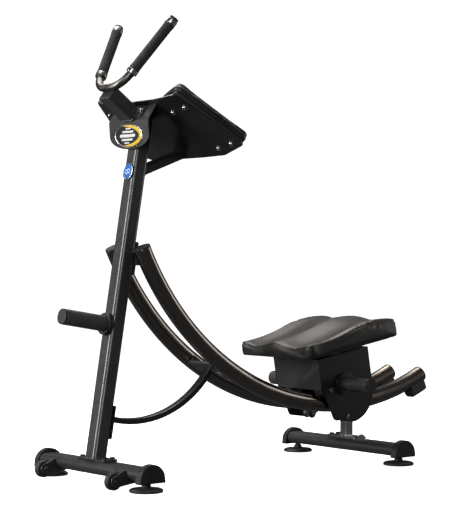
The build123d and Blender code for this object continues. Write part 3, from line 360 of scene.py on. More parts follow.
def paddedLeather(name="cushionLeather", worn=leatherSet["worn"]):
    # pebbled upholstery: rounded cells with fine creases between them, broken up by broad noise
    m = newMaterial(name, leatherSet["base"], 0.42, Sheen_Weight=0.06, Sheen_Roughness=0.4)
    coords = objectCoords(m)
    cells = addNode(m, "ShaderNodeTexVoronoi", feature="DISTANCE_TO_EDGE")
    cells.inputs["Scale"].default_value = leatherSet["pebble"]
    join(m, coords, cells.inputs["Vector"])
    crease = spread(m, cells.outputs["Distance"], 0.0, 0.25, 0, 1)
    broad = noise(m, coords, 16.0, 4.0)
    fine = noise(m, coords, 160.0, 3.0)
    join(m, blendColours(m, spread(m, broad, 0.4, 0.7, 0, 1), leatherSet["base"], worn),
         shaderOf(m).inputs["Base Color"])
    join(m, sums(m, "ADD", spread(m, broad, 0.3, 0.7, 0.30, 0.40), spread(m, crease, 0, 1, 0.10, 0.0)),
         shaderOf(m).inputs["Roughness"])
    height = sums(m, "ADD", sums(m, "MULTIPLY", crease, 0.7), sums(m, "MULTIPLY", fine, 0.6))
    bump(m, height, 0.22, 0.0005)
    return m


def softRubber(name, tone, rough, pitch=900.0, strength=0.3):
    # matt rubber or foam with a fine open grain
    m = newMaterial(name, tone, rough)
    coords = objectCoords(m)
    grain = noise(m, coords, pitch, 3.0, 0.7)
    join(m, spread(m, noise(m, coords, 25.0, 4.0), 0.3, 0.7, rough - 0.06, rough + 0.08),
         shaderOf(m).inputs["Roughness"])
    dusty = tuple(c * 1.7 + 0.004 for c in tone)
    join(m, blendColours(m, spread(m, noise(m, coords, 18.0, 5.0), 0.45, 0.75, 0, 1), tone, dusty),
         shaderOf(m).inputs["Base Color"])
    bump(m, grain, strength, 0.0004)
    return m


def stainedBoard():
    # black-stained plywood: thin plies show on the edges as bands across its thickness
    m = newMaterial("stainedBoard", (0.03, 0.027, 0.024), 0.6)
    coords = objectCoords(m)
    grain = noise(m, objectCoords(m, scale=(6, 60, 60)), 6.0, 5.0)
    join(m, blendColours(m, grain, (0.020, 0.018, 0.016), (0.055, 0.047, 0.040)),
         shaderOf(m).inputs["Base Color"])
    bump(m, noise(m, coords, 240.0, 3.0), 0.2, 0.0004)
    return m


addCamera()
addLights()
addWorld()

paint = powderCoat()
# a darker copy of the frame's powder coat: painted shade for the parts that face down or away from the lamps
# (brace, cradle, pad strut, carriage side plates)
shadedPaint = powderCoat("powderCoatShaded", (0.009, 0.009, 0.0095), (0.016, 0.016, 0.017), (0.32, 0.44))
nickel = railMetal()
plated = brightSteel("platedSteel", (0.62, 0.62, 0.63), 0.20)
chrome = brightSteel("ringChrome", (0.70, 0.70, 0.71), 0.20, 120.0)
gunmetal = powderCoat("gunmetalPaint", (0.060, 0.060, 0.063), (0.085, 0.085, 0.089), (0.24, 0.34))
darkBolt = brightSteel("blackenedBolt", (0.20, 0.20, 0.21), 0.28)
pinSteel = brightSteel("pinSteel", (0.45, 0.45, 0.46), 0.24)
capPlastic = mouldedPlastic("capPlastic", (0.012, 0.012, 0.013), 0.44)
rollerNylon = mouldedPlastic("rollerNylon", (0.03, 0.03, 0.03), 0.38, 900.0, 0.1)
footRubber = softRubber("footRubber", (0.020, 0.020, 0.020), 0.55)
gripFoam = softRubber("gripFoam", (0.022, 0.022, 0.022), 0.76, 1100.0, 0.25)
leather = paddedLeather()
board = stainedBoard()
print("materials made")


# shapes read from the frame's own meshes

def slabFrame(node, facing):
    # the flat side of a slab whose normal is nearest to facing: its middle, its long and wide
    # directions (the smallest rectangle round it) and its normal, with the slab's three sizes
    points = nodePoints(node)
    mesh = nodes[node].data
    mesh.calc_loop_triangles()
    corners = np.zeros(len(mesh.loop_triangles) * 3, np.int32)
    mesh.loop_triangles.foreach_get("vertices", corners)
    tri = points[corners.reshape(-1, 3)]
    cross = np.cross(tri[:, 1] - tri[:, 0], tri[:, 2] - tri[:, 0])
    area = np.linalg.norm(cross, axis=1)
    unit = cross / np.maximum(area[:, None], 1e-15)
    near = unit @ np.array(facing, float)
    weight = np.round(unit[near > 0.5] * 200) @ np.array([1.0, 1000.0, 1e6])
    inverse = np.unique(weight, return_inverse=True)[1]
    totals = np.bincount(inverse.ravel(), area[near > 0.5])
    normal = unit[near > 0.5][inverse.ravel() == totals.argmax()].mean(0)
    normal /= np.linalg.norm(normal)
    depth = points @ normal
    flat = points[depth > depth.max() - 2e-4]
    a = np.cross(normal, [0.0, 1.0, 0.0])
    a /= np.linalg.norm(a)
    b = np.cross(normal, a)
    p = np.stack([flat @ a, flat @ b], 1)
    turns = np.radians(np.arange(0, 90, 0.1))
    x = p[:, 0, None] * np.cos(turns) + p[:, 1, None] * np.sin(turns)
    y = -p[:, 0, None] * np.sin(turns) + p[:, 1, None] * np.cos(turns)
    best = (np.ptp(x, axis=0) * np.ptp(y, axis=0)).argmin()
    t = turns[best]
    u, v = a * np.cos(t) + b * np.sin(t), -a * np.sin(t) + b * np.cos(t)
    sizes = [np.ptp(x[:, best]), np.ptp(y[:, best])]
    centre2 = [(x[:, best].max() + x[:, best].min()) / 2, (y[:, best].max() + y[:, best].min()) / 2]
    if sizes[1] > sizes[0]:
        u, v, sizes, centre2 = v, -u, sizes[::-1], [centre2[1], -centre2[0]]
    centre = u * centre2[0] + v * centre2[1] + normal * depth.max()
    return centre, u, v, normal, (*sizes, float(np.ptp(depth)))


def clusters(node, reach):
    # groups of a node's points no further than reach apart, one for each separate fastener
    points = nodePoints(node)
    groups = []
    while len(points):
        chosen = points[:1]
        for _ in range(4):
            near = (np.linalg.norm(points[:, None] - chosen[None], axis=2) < reach).any(1)
            chosen = points[near]
        groups.append(chosen)
        points = points[~near]
    return groups


def sharpen(node, material, width=0.0009, segments=2):
    # a small rounded edge, so that the edges of pressed and cut metal catch the light; a node
    # with no width keeps its own smooth shading
    piece = nodes[node]
    piece.data.materials.clear()
    piece.data.materials.append(material)
    if not width:
        return
    weld = piece.modifiers.new("weld", "WELD")
    weld.merge_threshold = 2e-6
    edge = piece.modifiers.new("edge", "BEVEL")
    edge.width = width
    edge.segments = segments
    edge.limit_method = "ANGLE"
    edge.angle_limit = math.radians(35)
    shade = piece.modifiers.new("shade", "WEIGHTED_NORMAL")
    shade.weight = 90
    shade.keep_sharp = True


barNickel = brightSteel("barNickel", (0.125, 0.120, 0.114), 0.36)
# brace, cradle, pad_strut and the carriage plates take the painted-shade copy of the powder coat
finishes = {
    "handle_bar": (barNickel, 0.0), "front_foot_bar": (paint, 0.0008), "rear_foot_bar": (paint, 0.0008),
    "foot_bar_caps": (capPlastic, 0.0014), "upright": (paint, 0.0006),
    "upright_foot_plate": (paint, 0.0011), "wheel_brackets": (paint, 0.0009), "rear_post": (plated, 0.0009),
    "rear_cross_member": (plated, 0.0006), "rail_left": (nickel, 0.0006), "rail_right": (nickel, 0.0006),
    "rail_end_caps": (capPlastic, 0.0014), "rail_bumpers": (footRubber, 0.0026),
    "rail_top_bracket": (paint, 0.0009), "rail_mid_bracket": (paint, 0.0009), "brace": (shadedPaint, 0.0008),
    "frame_bolts": (darkBolt, 0.0007), "foot_nuts": (darkBolt, 0.0006), "wheel_axles": (darkBolt, 0.0006),
    "storage_post": (gunmetal, 0.0008), "storage_collar": (capPlastic, 0.0012),
    "storage_end_cap": (capPlastic, 0.0014), "badge_plate": (paint, 0.0008), "cradle": (shadedPaint, 0.0009),
    "pad_strut": (shadedPaint, 0.0008), "handle_stem": (paint, 0.0009), "grip_rings": (chrome, 0.0010),
    "handle_end_plugs": (capPlastic, 0.0018), "carriage_plate_left": (shadedPaint, 0.0012),
    "carriage_plate_right": (shadedPaint, 0.0012), "carriage_cover": (paint, 0.0009),
    "roller_axles": (pinSteel, 0.0006), "carriage_posts": (gunmetal, 0.0008),
    "post_collars": (capPlastic, 0.0012), "post_end_caps": (capPlastic, 0.0014),
    "swivel_base": (darkBolt, 0.0008), "swivel_top": (darkBolt, 0.0008), "seat_board": (board, 0.0010),
    "elbow_boards": (board, 0.0010), "wheel_left": (footRubber, 0.0008),
    "wheel_right": (footRubber, 0.0008),
}


def finishNodes():
    for node, (material, width) in finishes.items():
        sharpen(node, material, width)
    for node in nodes:
        if "_roller_" in node or node.startswith("lower_roller"):
            sharpen(node, rollerNylon, 0.0007)
        elif node.startswith(("foot_front", "foot_rear")):
            sharpen(node, footRubber, 0.0010)


finishNodes()
print("nodes finished")


# cushions: a closed crowned form, remeshed, then filled by a short cloth run

def roundedOutline(halfLong, halfWide, corner, count):
    # points evenly spaced round a rectangle with round corners
    straight = [2 * (halfWide - corner), 2 * (halfLong - corner)] * 2
    arc = math.pi / 2 * corner
    total = sum(straight) + 4 * arc
    s = np.linspace(0, total, count, endpoint=False)
    x, y = np.zeros(count), np.zeros(count)
    centres = [(1, 1), (-1, 1), (-1, -1), (1, -1)]
    begin = 0.0
    for side in range(4):
        # straight run that ends at this corner, then its quarter turn
        cx, cy = centres[side][0] * (halfLong - corner), centres[side][1] * (halfWide - corner)
        angle0 = side * math.pi / 2
        run = (s >= begin) & (s < begin + straight[side])
        left = begin + straight[side] - s[run]
        x[run] = cx + corner * math.cos(angle0) + left * math.sin(angle0)
        y[run] = cy + corner * math.sin(angle0) - left * math.cos(angle0)
        begin += straight[side]
        bend = (s >= begin) & (s < begin + arc)
        angle = angle0 + (s[bend] - begin) / corner
        x[bend] = cx + corner * np.cos(angle)
        y[bend] = cy + corner * np.sin(angle)
        begin += arc
    return x, y


def cushionForm(halfLong, halfWide, corner, topHeight, edgeTop, edgeBottom, bulge, count=200):
    # rings from the middle of the underside out, up the side and in over the top: inset(k) is how
    # far ring k lies inside the outline and rise(k) its height, from 0 at the underside to
    # topHeight(x, y) on the top, with quarter-round edges and a side that swells by bulge
    quarter = np.linspace(0, math.pi / 2, 7)
    inset = [edgeBottom * (1 - math.sin(q)) for q in quarter]
    low = [edgeBottom * (1 - math.cos(q)) for q in quarter]
    rings = [("low", f, 0.0) for f in np.linspace(0, 1, 12)[:-1]]
    rings += [("edge", i, z) for i, z in zip(inset, low)]
    rings += [("side", f, 0.0) for f in np.linspace(0, 1, 8)[1:-1]]
    rings += [("rim", edgeTop * (1 - math.cos(q)), edgeTop * (1 - math.sin(q))) for q in quarter]
    rings += [("top", f, 0.0) for f in np.linspace(1, 0, 22)[1:]]
    points = []
    for kind, a, b in rings:
        if kind == "low":
            x, y = roundedOutline(halfLong - edgeBottom, halfWide - edgeBottom, corner - edgeBottom, count)
            x, y, z = x * a, y * a, np.zeros(count)
        elif kind == "edge":
            x, y = roundedOutline(halfLong - a, halfWide - a, corner - a, count)
            z = np.full(count, b)
        elif kind == "side":
            swell = bulge * math.sin(math.pi * a)
            x, y = roundedOutline(halfLong + swell, halfWide + swell, corner + swell, count)
            z = edgeBottom + (topHeight(x, y) - edgeTop - edgeBottom) * a
        elif kind == "rim":
            x, y = roundedOutline(halfLong - a, halfWide - a, max(corner - a, 0.004), count)
            z = topHeight(x, y) - b
        else:
            x, y = roundedOutline(halfLong - edgeTop, halfWide - edgeTop, max(corner - edgeTop, 0.004), count)
            x, y = x * a, y * a
            z = topHeight(x, y)
        points.append(np.stack([x, y, z], 1))
    return np.array(points), gridFaces(len(points), count, False, True)


def softened(piece, voxel, pressure, cap, holdBelow, up, floorHeight, frames=20):
    # remeshes the form, holds its underside, fills it with air for a few frames and keeps each
    # point within cap of where it began
    mesh = piece.data
    remesh = piece.modifiers.new("remesh", "REMESH")
    remesh.mode = "VOXEL"
    remesh.voxel_size = voxel
    bpy.context.view_layer.update()
    graph = bpy.context.evaluated_depsgraph_get()
    fine = bpy.data.meshes.new_from_object(piece.evaluated_get(graph))
    piece.modifiers.clear()
    piece.data = fine
    bpy.data.meshes.remove(mesh)
    fine.name = piece.name
    start = np.zeros(len(fine.vertices) * 3, np.float32)
    fine.vertices.foreach_get("co", start)
    start = start.reshape(-1, 3)
    held = piece.vertex_groups.new(name="held")
    low = np.nonzero(start @ up < floorHeight + holdBelow)[0]
    held.add(low.tolist(), 1.0, "REPLACE")
    cloth = piece.modifiers.new("cloth", "CLOTH")
    cloth.settings.quality = 5
    cloth.settings.mass = 0.3
    cloth.settings.tension_stiffness = 18
    cloth.settings.compression_stiffness = 18
    cloth.settings.shear_stiffness = 8
    cloth.settings.bending_stiffness = 1.2
    cloth.settings.use_pressure = True
    cloth.settings.uniform_pressure_force = pressure
    cloth.settings.vertex_group_mass = "held"
    cloth.settings.effector_weights.gravity = 0.0
    cloth.collision_settings.use_collision = False
    scene = bpy.context.scene
    scene.frame_start, scene.frame_end = 1, frames
    cloth.point_cache.frame_start, cloth.point_cache.frame_end = 1, frames
    for step in range(1, frames + 1):
        scene.frame_set(step)
    graph = bpy.context.evaluated_depsgraph_get()
    moved = piece.evaluated_get(graph).to_mesh()
    end = np.zeros(len(moved.vertices) * 3, np.float32)
    moved.vertices.foreach_get("co", end)
    end = end.reshape(-1, 3)
    piece.evaluated_get(graph).to_mesh_clear()
    piece.modifiers.remove(cloth)
    piece.vertex_groups.clear()
    shift = end - start
    length = np.linalg.norm(shift, axis=1, keepdims=True)
    shift *= np.minimum(1.0, cap / np.maximum(length, 1e-9))
    fine.vertices.foreach_set("co", (start + shift).ravel())
    fine.update()
    scene.frame_set(1)


def smoothed(piece, rounds):
    soft = piece.modifiers.new("smooth", "SMOOTH")
    soft.factor = 0.5
    soft.iterations = rounds
    graph = bpy.context.evaluated_depsgraph_get()
    fine = bpy.data.meshes.new_from_object(piece.evaluated_get(graph))
    old = piece.data
    piece.modifiers.clear()
    piece.data = fine
    fine.name = piece.name
    if old.users == 0:
        bpy.data.meshes.remove(old)


def nearLoop(points, loop):
    # distance from each point to a closed loop of many points
    best = np.full(len(points), 1e9)
    for part in np.array_split(loop, max(1, len(loop) // 80)):
        gap = np.linalg.norm(points[:, None] - part[None], axis=2).min(1)
        best = np.minimum(best, gap)
    return best


def subdivided(piece):
    more = piece.modifiers.new("subdivide", "SUBSURF")
    more.levels = more.render_levels = 1
    graph = bpy.context.evaluated_depsgraph_get()
    fine = bpy.data.meshes.new_from_object(piece.evaluated_get(graph))
    old = piece.data
    piece.modifiers.clear()
    piece.data = fine
    fine.name = piece.name
    if old.users == 0:
        bpy.data.meshes.remove(old)
    fine.polygons.foreach_set("use_smooth", np.ones(len(fine.polygons), bool))


def sewn(piece, loop, depth, width):
    # a seam: each point moves inwards by depth * exp(-(d / width)^2), d its distance to the loop
    mesh = piece.data
    co = np.zeros(len(mesh.vertices) * 3, np.float32)
    normal = np.zeros(len(mesh.vertices) * 3, np.float32)
    mesh.vertices.foreach_get("co", co)
    mesh.vertices.foreach_get("normal", normal)
    co, normal = co.reshape(-1, 3).astype(float), normal.reshape(-1, 3)
    gap = nearLoop(co, loop)
    co -= normal * (depth * np.exp(-(gap / width) ** 2))[:, None]
    mesh.vertices.foreach_set("co", co.astype(np.float32).ravel())
    mesh.update()


def stitches(name, loop, outwards, pitch, length, radius, material, body):
    # short thread loops laid along a closed line: stitch i is a small capsule of six sides whose
    # middle line is a half sine, so that it stands proud in its middle and dives in at both ends
    span = np.linalg.norm(np.roll(loop, -1, 0) - loop, axis=1)
    s = np.concatenate([[0], np.cumsum(span)])
    closed = np.vstack([loop, loop[:1]])
    outClosed = np.vstack([outwards, outwards[:1]])
    total = s[-1]
    count = int(total / pitch)
    first = np.arange(count) * total / count
    along = first[:, None] + np.linspace(0, length, 5)
    centre = np.stack([np.interp(along % total, s, closed[:, k]) for k in range(3)], -1)
    out = np.stack([np.interp(along % total, s, outClosed[:, k]) for k in range(3)], -1)
    out /= np.linalg.norm(out, axis=2, keepdims=True)
    lift = np.sin(np.linspace(0, np.pi, 5))
    centre = centre + out * (radius * 1.1 * (lift * 2 - 1))[None, :, None]
    ahead = np.gradient(centre, axis=1)
    ahead /= np.linalg.norm(ahead, axis=2, keepdims=True)
    across = np.cross(ahead, out)
    t = np.linspace(0, 2 * np.pi, 6, endpoint=False)
    girth = radius * np.array([0.25, 0.9, 1.0, 0.9, 0.25])
    ring = (np.cos(t)[:, None] * out[:, :, None]
            + np.sin(t)[:, None] * across[:, :, None]) * girth[None, :, None, None]
    points = centre[:, :, None] + ring
    quads = gridFaces(5, 6, False, True)
    faces = (quads[None] + 30 * np.arange(count)[:, None, None]).reshape(-1, 4)
    piece = makeMesh(name, points, faces, material, body)
    return piece


def placed(points, origin, along, across, up):
    # from a piece's own length, width and height to the machine's frame
    return origin + points[..., :1] * along + points[..., 1:2] * across + points[..., 2:] * up


seatSet = {
    "corner": 0.020, "shrink": 0.0008, "edge": 0.0065, "underEdge": 0.005, "bulge": 0.0010,
    "frontHeight": 0.0465, "crest": 0.0755, "rearHeight": 0.061, "crestAt": 0.094,
    "valley": (0.0135, 0.0095), "ridge": (0.006, 0.003), "valleyAt": 0.104,
    "voxel": 0.0046, "pressure": 2.4, "cap": 0.0035,
}
thread = softRubber("sewingThread", (0.030, 0.030, 0.030), 0.6, 2500.0, 0.2)


def makeSeat():
    p = seatSet
    axisPoint = np.array(joint("seat_swivel")["pos_m"], float)
    pad = nodePoints("seat_pad")
    along = (pad - axisPoint) @ seatAlong
    height = pad @ seatAxis
    under = height.min()
    low, high = along.min(), along.max()
    half = (high - low) / 2
    halfWide = pad[:, 1].max()
    middleAlong = (high + low) / 2

    def topHeight(x, y):
        # side view: level, then a smooth climb to the crest and a gentle fall behind it; across,
        # two troughs for the knees at valleyAt with a low ridge between them
        a = x + middleAlong
        climb = np.clip((a + 0.140) / (p["crestAt"] + 0.140), 0, 1)
        climb = climb * climb * (3 - 2 * climb)
        fall = np.clip((a - p["crestAt"]) / (high - p["crestAt"]), 0, 1) ** 1.6
        lip = np.clip((-0.150 - a) / 0.043, 0, 1) ** 2
        side = p["frontHeight"] + (p["crest"] - p["frontHeight"]) * climb
        side = side - (p["crest"] - p["rearHeight"]) * fall + 0.003 * lip
        run = np.clip((x + half) / (2 * half), 0, 1)
        deep = p["valley"][0] + (p["valley"][1] - p["valley"][0]) * run
        proud = p["ridge"][0] + (p["ridge"][1] - p["ridge"][0]) * run
        w = np.abs(y)
        s = np.where(w < p["valleyAt"], w / (2 * p["valleyAt"]),
                     0.5 + np.clip((w - p["valleyAt"]) / (2 * (halfWide - p["valleyAt"])), 0, 0.5))
        trough = (1 - np.cos(2 * np.pi * s)) / 2
        return side - deep * trough + proud * np.clip(1 - w / p["valleyAt"], 0, 1) ** 2 * (1 - trough)

    k = p["shrink"]
    points, faces = cushionForm(half - k, halfWide - k, p["corner"], lambda x, y: topHeight(x, y) - k,
                                p["edge"], p["underEdge"], p["bulge"])
    origin = axisPoint + seatAlong * middleAlong + seatAxis * (under - axisPoint @ seatAxis)
    seat = makeMesh("seatCushion", placed(points, origin, seatAlong, sideways, seatAxis), faces, leather,
                    "seat")
    outward(seat)
    softened(seat, p["voxel"], p["pressure"], p["cap"], 0.004, seatAxis, under)
    smoothed(seat, 3)
    subdivided(seat)
    count = 900
    inset = 0.0035
    x, y = roundedOutline(half - inset, halfWide - inset, p["corner"] - inset, count)
    rim = np.stack([x, y, topHeight(x, y) - 0.0075], 1)
    sewn(seat, placed(rim, origin, seatAlong, sideways, seatAxis), 0.0020, 0.0042)
    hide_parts("seat_pad")
    # two lines of stitching just above and below the seam
    for name, drop, pull in (("seatStitchesUpper", 0.0030, 0.0058), ("seatStitchesLower", 0.0145, -0.0002)):
        x, y = roundedOutline(half - pull, halfWide - pull, max(p["corner"] - pull, 0.01), count)
        line = np.stack([x, y, topHeight(x, y) - drop], 1)
        corner = roundedOutline(half - pull, halfWide - pull, p["corner"], count)
        step = np.stack([np.roll(corner[1], -1) - corner[1], corner[0] - np.roll(corner[0], -1)], 1)
        step /= np.linalg.norm(step, axis=1, keepdims=True)
        out = np.concatenate([step, np.full((count, 1), 0.9 if drop < 0.01 else 0.05)], 1)
        zero = np.zeros(3)
        stitches(name, placed(line, origin, seatAlong, sideways, seatAxis),
                 placed(out, zero, seatAlong, sideways, seatAxis), 0.0062, 0.0042, 0.00055, thread, "seat")
    print("seat cushion made:", len(seat.data.polygons), "faces")


elbowSet = {
    "corner": 0.018, "shrink": 0.0010, "edge": 0.011, "underEdge": 0.004, "bulge": 0.0015, "crown": 0.003,
    "voxel": 0.0045, "pressure": 3.2, "cap": 0.005,
}


def makeElbowPads():
    p = elbowSet
    for side in ("left", "right"):
        node = "elbow_pad_" + side
        centre, along, across, down, (long, wide, thick) = slabFrame(node, (-0.6, 0, -0.8))
        up = -down
        along = along if along[0] > 0 else -along
        across = np.cross(up, along)
        halfLong, halfWide = long / 2, wide / 2

        def topHeight(x, y):
            # nearly level, with a low crown: 1 - (x / halfLong)^4 and the same across
            fall = (1 - np.abs(x / halfLong) ** 3) * (1 - np.abs(y / halfWide) ** 3)
            return thick - p["shrink"] - p["crown"] + p["crown"] * np.clip(fall, 0, 1)

        k = p["shrink"]
        points, faces = cushionForm(halfLong - k, halfWide - k, p["corner"], topHeight, p["edge"],
                                    p["underEdge"], p["bulge"], 160)
        pad = makeMesh("elbowCushion_" + side, placed(points, centre, along, across, up), faces, leather,
                       "frame")
        outward(pad)
        softened(pad, p["voxel"], p["pressure"], p["cap"], 0.003, up, centre @ up)
        smoothed(pad, 2)
        subdivided(pad)
        count = 600
        x, y = roundedOutline(halfLong - 0.001, halfWide - 0.001, p["corner"], count)
        rim = np.stack([x, y, np.full(count, thick * 0.52)], 1)
        sewn(pad, placed(rim, centre, along, across, up), 0.0016, 0.0040)
        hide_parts(node)
        step = np.stack([np.roll(y, -1) - y, x - np.roll(x, -1)], 1)
        step /= np.linalg.norm(step, axis=1, keepdims=True)
        out = np.concatenate([step, np.full((count, 1), 0.1)], 1)
        line = rim + np.array([0, 0, 0.0045])
        stitches("elbowStitches_" + side, placed(line, centre, along, across, up),
                 placed(out, np.zeros(3), along, across, up), 0.0060, 0.0040, 0.0005, thread, "frame")
    print("elbow cushions made")


makeSeat()
makeElbowPads()


# grips

gripSet = {"ridge": 0.00035, "pitch": 0.0021, "flare": 0.0013, "flareLength": 0.010, "endRound": 0.0022}


def makeGrips():
    # a foam sleeve turned round the arm: radius = R + flare at both ends + a fine ripple
    g = gripSet
    for side in ("left", "right"):
        node = "grip_" + side
        points = nodePoints(node)
        centre = points.mean(0)
        away = np.linalg.svd(points - centre, full_matrices=False)[2][0]
        axis = away if away[2] > 0 else -away
        t = points @ axis
        first, last = t.min(), t.max()
        # the axis runs through the middles of the two ends
        lower = points[t < first + 1e-4].mean(0)
        upper = points[t > last - 1e-4].mean(0)
        axis = (upper - lower) / np.linalg.norm(upper - lower)
        length = (upper - lower) @ axis
        offset = points - lower
        radial = np.linalg.norm(offset - (offset @ axis)[:, None] * axis, axis=1)
        outer, inner = radial.max(), radial.min()
        s = np.linspace(0, length, 420)
        endGap = np.minimum(s, length - s)
        radius = outer - g["ridge"] + g["ridge"] * np.cos(2 * np.pi * s / g["pitch"])
        radius += g["flare"] * np.exp(-(endGap / g["flareLength"]) ** 2)
        ease = np.clip(endGap / g["endRound"], 0, 1)
        radius -= g["endRound"] * (1 - np.sqrt(1 - (1 - ease) ** 2))
        profile = np.concatenate([[[0.0, inner]], np.stack([s, radius], 1), [[length, inner]],
                                  [[0.0, inner]]])
        grid, faces = turned(profile, lower, axis, 56)
        grip = makeMesh("gripSleeve_" + side, grid, faces, gripFoam, "frame")
        outward(grip)
        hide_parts(node)
    print("grips made")


makeGrips()


# badge, emblem, bolt heads and weld beads

badgeGold = newMaterial("badgeGold", (0.83, 0.55, 0.06), 0.28, 0.0, Coat_Weight=0.6, Coat_Roughness=0.1)
badgeWhite = newMaterial("badgeWhite", (0.78, 0.78, 0.76), 0.35, 0.0, Coat_Weight=0.4, Coat_Roughness=0.12)
badgeSilver = brightSteel("badgeSilver", (0.70, 0.70, 0.71), 0.24, 400.0)


def glossPrint(name, tone, second):
    # printed film under clear resin: a faint mottle in the ink and a smooth coat
    m = newMaterial(name, tone, 0.30, 0.0, Coat_Weight=0.8, Coat_Roughness=0.06)
    coords = objectCoords(m)
    mask = spread(m, noise(m, coords, 90.0, 4.0), 0.35, 0.7, 0, 1)
    join(m, blendColours(m, mask, tone, second), shaderOf(m).inputs["Base Color"])
    bump(m, noise(m, coords, 1200.0, 2.0), 0.03, 0.0002)
    return m


badgeBlack = glossPrint("badgeBlack", (0.010, 0.010, 0.011), (0.022, 0.022, 0.024))
emblemBlue = glossPrint("emblemBlue", (0.020, 0.140, 0.480), (0.035, 0.200, 0.600))
for plainInk in (badgeGold, badgeWhite):
    inkCoords = objectCoords(plainInk)
    bump(plainInk, noise(plainInk, inkCoords, 1100.0, 2.0), 0.05, 0.0002)
    tone = tuple(shaderOf(plainInk).inputs["Base Color"].default_value)[:3]
    inkMask = spread(plainInk, noise(plainInk, inkCoords, 140.0, 4.0), 0.4, 0.75, 0, 1)
    join(plainInk, blendColours(plainInk, inkMask, tone, tuple(c * 0.88 for c in tone)),
         shaderOf(plainInk).inputs["Base Color"])


def domed(halfLong, halfWide, base, rise, rings=14, count=96):
    # an ellipse with a low dome: height = base + rise * (1 - r^2), closed underneath
    r = np.concatenate([[0.0, 1.0], np.linspace(1, 0, rings)])
    z = np.concatenate([[0.0, 0.0], base + rise * (1 - np.linspace(1, 0, rings) ** 2)])
    t = np.linspace(0, 2 * np.pi, count, endpoint=False)
    x = r[:, None] * halfLong * np.cos(t)
    y = r[:, None] * halfWide * np.sin(t)
    return np.stack([x, y, np.broadcast_to(z[:, None], x.shape)], -1), gridFaces(len(r), count, False, True)


def bead(centre, radius, flat=1.0, count=12, closed=True):
    # a round cord along a path of points that lies in a plane: radius may change along it
    ahead = np.roll(centre, -1, 0) - np.roll(centre, 1, 0)
    if not closed:
        ahead = np.gradient(centre, axis=0)
    ahead /= np.linalg.norm(ahead, axis=1, keepdims=True)
    up = np.array([0.0, 0.0, 1.0])
    across = np.cross(ahead, up)
    t = np.linspace(0, 2 * np.pi, count, endpoint=False)
    radius = np.broadcast_to(radius, (len(centre),))
    ring = np.cos(t)[None, :, None] * across[:, None] + flat * np.sin(t)[None, :, None] * up
    return centre[:, None] + ring * radius[:, None, None], gridFaces(len(centre), count, closed, True)


def makeBadge():
    centre, along, across, normal, (long, wide, thick) = slabFrame("badge_face", (-1, 0, 0))
    along = along if along[1] < 0 else -along           # to the right, seen from in front
    up = np.cross(normal, along)
    back = centre - normal * thick
    halfLong, halfWide = long / 2, wide / 2
    t = np.linspace(0, 2 * np.pi, 160, endpoint=False)
    zero = np.zeros_like(t)

    def add(name, points, faces, material):
        piece = makeMesh(name, placed(points, back, along, up, normal), faces, material, "frame")
        outward(piece)
        return piece

    plate = add("badgeDisc", *domed(halfLong - 0.0015, halfWide - 0.0015, thick * 0.6, 0.0012), badgeBlack)
    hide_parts("badge_face")
    # silver rim whose cord thickens to the left, gold crescent that thickens to the right
    ring = np.stack([(halfLong - 0.0028) * np.cos(t), (halfWide - 0.0028) * np.sin(t), zero + thick * 0.6], 1)
    points, faces = bead(ring, 0.0022 + 0.0004 * (1 - np.cos(t)) / 2, 0.75)
    add("badgeRim", points, faces, badgeSilver)
    sweep = np.linspace(-1.95, 1.95, 120)
    width = 0.0062 * np.cos(sweep / 1.95 * np.pi / 2) ** 0.7 + 0.0006
    across5 = np.linspace(0, 1, 9)
    outer = np.array([halfLong - 0.0052, halfWide - 0.0052])
    x = (outer[0] - 2 * width[:, None] * across5) * np.cos(sweep)[:, None]
    y = (outer[1] - 2 * width[:, None] * across5) * np.sin(sweep)[:, None]
    z = thick * 0.6 + 0.0010 + 0.0011 * np.sin(np.pi * across5)[None] + zero[:120, None]
    top = np.stack([x, y, z], -1)
    under = np.stack([x, y, np.full_like(x, thick * 0.5)], -1)[:, ::-1]
    loop = np.concatenate([top, under], 1)
    points = np.concatenate([loop.mean(1, keepdims=True)[:1].repeat(18, 1), loop,
                             loop.mean(1, keepdims=True)[-1:].repeat(18, 1)])
    add("badgeCrescent", points, gridFaces(len(points), 18, False, True), badgeGold)
    # plain raised bars, slanted, three long ones and a short one above and below
    bars = ((0.0, 0.041, 0.0050), (0.0125, 0.030, 0.0034), (-0.0125, 0.030, 0.0034), (0.0225, 0.013, 0.0026),
            (-0.0225, 0.013, 0.0026))
    blocks, faceBlocks = [], []
    a = np.linspace(0, 2 * np.pi, 32, endpoint=False)
    for number, (height, reach, half) in enumerate(bars):
        bx = np.sign(np.cos(a)) * (reach - half) + half * np.cos(a)
        by = half * np.sin(a)
        scale = np.array([0.0, 1.0, 1.0, 0.88, 0.0])[:, None]
        zs = np.array([0.0, 0.0, 0.0026, 0.0030, 0.0031])[:, None]
        px = (np.sign(bx) * (reach - half)
              + (bx - np.sign(bx) * (reach - half)) * scale) * np.where(scale > 0, 1, 0)
        py = by * scale
        block = np.stack([px + 0.25 * (py + height) - 0.004, py + height, zs + 0 * a + thick * 0.45], -1)
        blocks.append(block)
        faceBlocks.append(gridFaces(5, 32, False, True) + 160 * number)
    add("badgeBars", np.array(blocks), np.concatenate(faceBlocks), badgeWhite)


